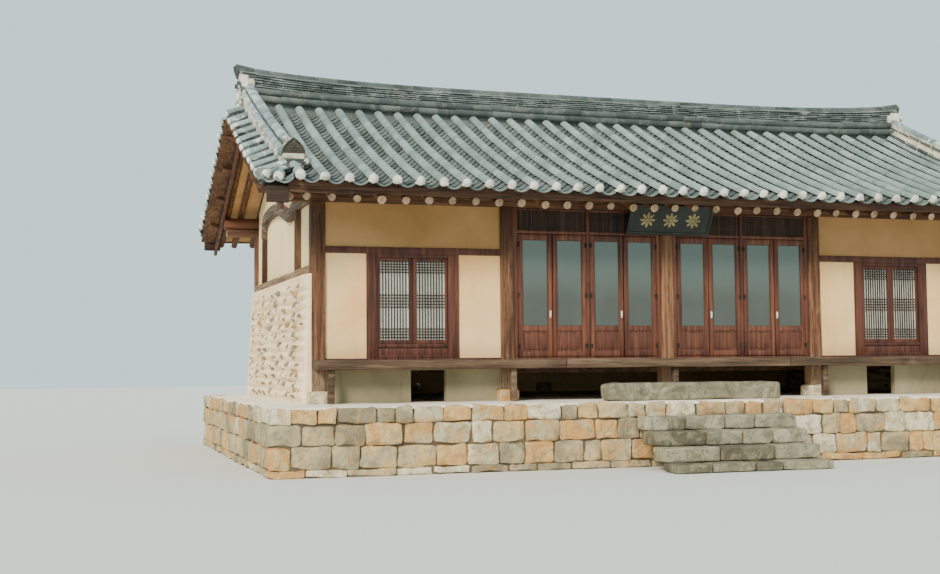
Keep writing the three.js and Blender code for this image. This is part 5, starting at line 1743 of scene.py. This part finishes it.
# The transom's dark sheet is painted shade for the room behind the lattice.
TRANSOM_PAINTED_SHADE = plain("transom_painted_shade", 0.9, 0.2, (3.0, 5.0, 0.6, 0.3), ((0.35, "1e1b18"), (0.65, "33302a")),
                      0.001)
HANDLE = plain("pale_metal", 0.35, 0.5, (40, 4.0, 0.7), ((0.35, "c9c9c4"), (0.6, "f0f0ea")), 0.0006)
IRON = fired("iron_fittings", "1c1a19", "2e2a27", "4a4038", "5d4030", 0.5, 0.001)
print("materials:", len(bpy.data.materials))

# %% Door frames
BAY_NEAR, BAY_FAR, MULLION, JAMB = 0.0903, 2.2097, (1.125, 1.175), 0.06
OPENINGS = [(BAY_NEAR + JAMB, MULLION[0]), (MULLION[1], BAY_FAR - JAMB)]
DOOR_TIMBERS = [(BAY_NEAR, BAY_FAR, *SILL, 2.470), (BAY_NEAR, BAY_NEAR + JAMB, 1.369, 3.339, 2.470),
                (BAY_FAR - JAMB, BAY_FAR, 1.369, 3.339, 2.470), (*MULLION, 1.369, 3.339, 2.470)]
DOOR_TIMBERS += [(x0, x1, low, high, 2.468) for low, high in ((3.004, 3.044), (3.31, 3.339))
                 for x0, x1 in OPENINGS]


def transom(side, dice):
    bars, sheet = bench(), bench()
    for opening in OPENINGS:
        a, b = sorted(side * x for x in opening)
        levels = [3.055 + 0.0285 * k for k in range(9)]
        lattice(bars, a, b, 3.042, 3.312, -2.456, -2.444, 32, levels, dice)
        block(sheet, (a - 0.002, -2.445, 3.03), (b + 0.002, -2.426, 3.32))
    return bars, sheet


for name, side in SIDES.items():
    timber_piece(f"door_timbers_{name}", 121, wall_boxes(side, DOOR_TIMBERS, 2.366), DOOR_WOOD,
                 [f"door_frame_{name}"], 0.005, 0.0015)
    bars, sheet = transom(side, random.Random(122))
    new_piece(f"transom_lattice_{name}", bars, BAR_WOOD)
    new_piece(f"transom_painted_shade_{name}", sheet, TRANSOM_PAINTED_SHADE)

# %% Door leaves
LEAF_SPANS = [(0.1563, 0.6317), (0.6437, 1.119), (1.181, 1.6564), (1.6684, 2.1437)]
LEAF_HINGES = [0.1533, 1.122, 1.178, 2.1467]
HINGE_Y, HINGE_RADIUS, HINGE_HALF, HINGE_HEIGHTS = -2.47774, 0.008, 0.03, (1.52, 2.19, 2.86)
LEAF_FRONT, LEAF_BACK, STILE = -2.470, -2.430, 0.057
LEAF_FOOT, LEAF_HEAD, PANE_Z = 1.378, 2.996, (1.781, 2.922)
RAIL_HEIGHTS = [(LEAF_FOOT, 1.448), (1.717, PANE_Z[0]), (PANE_Z[1], LEAF_HEAD)]
BEAD = 0.008


def leaf_wood(x0, x1, dice):
    """Stiles, rails, the panel with its raised fields, and the beads round the pane."""
    bm = bench()
    for a, b in ((x0, x0 + STILE), (x1 - STILE, x1)):
        diced_beam(bm, (a, LEAF_FRONT, LEAF_FOOT), (b, LEAF_BACK, LEAF_HEAD), dice, 0.004, 0.0008, 0.5)
    a, b = x0 + STILE, x1 - STILE
    for low, high in RAIL_HEIGHTS:
        diced_beam(bm, (a, LEAF_FRONT + 0.002, low), (b, LEAF_BACK - 0.002, high), dice, 0.004, 0.0008)
    block(bm, (a - 0.004, -2.457, 1.44), (b + 0.004, -2.445, 1.725), 0.35)
    low, high = PANE_Z
    for front, back in ((-2.465, -2.457), (-2.445, -2.438)):
        beam(bm, (a + 0.030, front, 1.478), (b - 0.030, back, 1.687), dice.uniform(0, 90), 0.0035, 0.0, 0.45)
        for near_x, near_z, far_x, far_z in ((a, low, a + BEAD, high), (b - BEAD, low, b, high),
                                             (a, low, b, low + BEAD), (a, high - BEAD, b, high)):
            block(bm, (near_x, front, near_z), (far_x, back, far_z), 0.2)
    return bm


def leaf_hinges(hinge, inward):
    """Hinge barrels with their plates."""
    bm = bench()
    for z in HINGE_HEIGHTS:
        barrel = bmesh.ops.create_cone(bm, cap_ends=True, segments=14, radius1=HINGE_RADIUS,
                                       radius2=HINGE_RADIUS, depth=2 * HINGE_HALF)["verts"]
        bmesh.ops.translate(bm, vec=(hinge, HINGE_Y, z), verts=barrel)
        block(bm, (hinge, -2.4738, z - HINGE_HALF), (hinge + inward * 0.027, -2.4695, z + HINGE_HALF))
    return bm


def leaf_pull(middle):
    """A small pull on the stile that meets the next leaf."""
    bm = bench()
    beam(bm, (middle - 0.011, -2.4745, 1.895), (middle + 0.011, -2.4695, 1.985), 0, 0.002, 0.0, 0.5)
    beam(bm, (middle - 0.006, -2.488, 1.905), (middle + 0.006, -2.474, 1.975), 0, 0.004, 0.0, 0.5)
    return bm


for name, side in SIDES.items():
    for index, (span, hinge) in enumerate(zip(LEAF_SPANS, LEAF_HINGES)):
        body = f"leaf_{name}_{index + 1}"
        way = 1 if hinge < span[0] else -1
        a, b = sorted(side * x for x in span)
        new_piece(f"{body}_wood", leaf_wood(a, b, random.Random(130 + index)), DOOR_WOOD,
                  [f"door_{body}"], body=body)
        glass = bench()
        block(glass, (a + STILE - 0.004, -2.454, PANE_Z[0] - 0.004),
              (b - STILE + 0.004, -2.448, PANE_Z[1] + 0.004))
        new_piece(f"{body}_pane", glass, PANE, body=body)
        new_piece(f"{body}_hinges", leaf_hinges(side * hinge, side * way), IRON, body=body)
        if index in (1, 3):
            meeting = span[1] if way == 1 else span[0]
            pull = leaf_pull(side * (meeting - way * 0.028))
            new_piece(f"{body}_pull", pull, HANDLE, body=body)

# %% [markdown]
# The name board leans out over the middle post: a dark board in a moulded frame. Where
# the writing would be it carries three plain rosettes of eight petals in dull gold.

# %% Name board
BOARD_PLACE = at(0, -2.4903, 3.030) @ turned(30, "X")
BOARD_HALF, BOARD_HIGH, MOULDING = 0.62, 0.44, 0.046
PETALS, ROSETTES = 8, (-0.34, 0.0, 0.34)


def lacquer(name, dark, light, gloss):
    coat = Finish(name, gloss, 0.4)
    scuffs = coat.noise(26, 5.0, 0.7, 0.2)
    body = coat.ramp(coat.noise(3.5, 5.0, 0.65, 0.4), (0.35, dark), (0.68, light))
    return coat.done(coat.patches(body, (scuffs, 0.6, 0.72, light, 0.4)), (scuffs, 0.0012))


def name_board():
    bm = bench()
    block(bm, (-BOARD_HALF + 0.03, -0.024, 0.03), (BOARD_HALF - 0.03, -0.004, BOARD_HIGH - 0.03))
    for low in (0, BOARD_HIGH - MOULDING):
        beam(bm, (-BOARD_HALF, -0.035, low), (BOARD_HALF, -0.001, low + MOULDING), 0, 0.010, 0.0, 0.5)
    for left in (-BOARD_HALF, BOARD_HALF - MOULDING):
        beam(bm, (left, -0.0345, 0.04), (left + MOULDING, -0.001, BOARD_HIGH - 0.04), 0, 0.010, 0.0, 0.5)
    bmesh.ops.transform(bm, matrix=BOARD_PLACE, verts=bm.verts)
    return bm


def rosettes():
    bm, petal = bench(), bmesh.new()
    bmesh.ops.create_icosphere(petal, subdivisions=2, radius=1.0)
    petal = pattern(petal)
    for x in ROSETTES:
        middle = BOARD_PLACE @ at(x, -0.024, BOARD_HIGH / 2)
        stamp(bm, petal, middle @ sized(0.026, 0.009, 0.026))
        for k in range(PETALS):
            turn = turned(360 / PETALS * k, "Y")
            stamp(bm, petal, middle @ turn @ at(0, 0, 0.070) @ sized(0.021, 0.006, 0.044))
    return bm


LACQUER = lacquer("dark_lacquer", "141a17", "272f2a", 0.45)
new_piece("board_and_frame", name_board(), [LACQUER] * 2, ["name_board"])
new_piece("board_rosettes", rosettes(), lacquer("dull_gold", "80724f", "b5a87e", 0.6), soft=60)
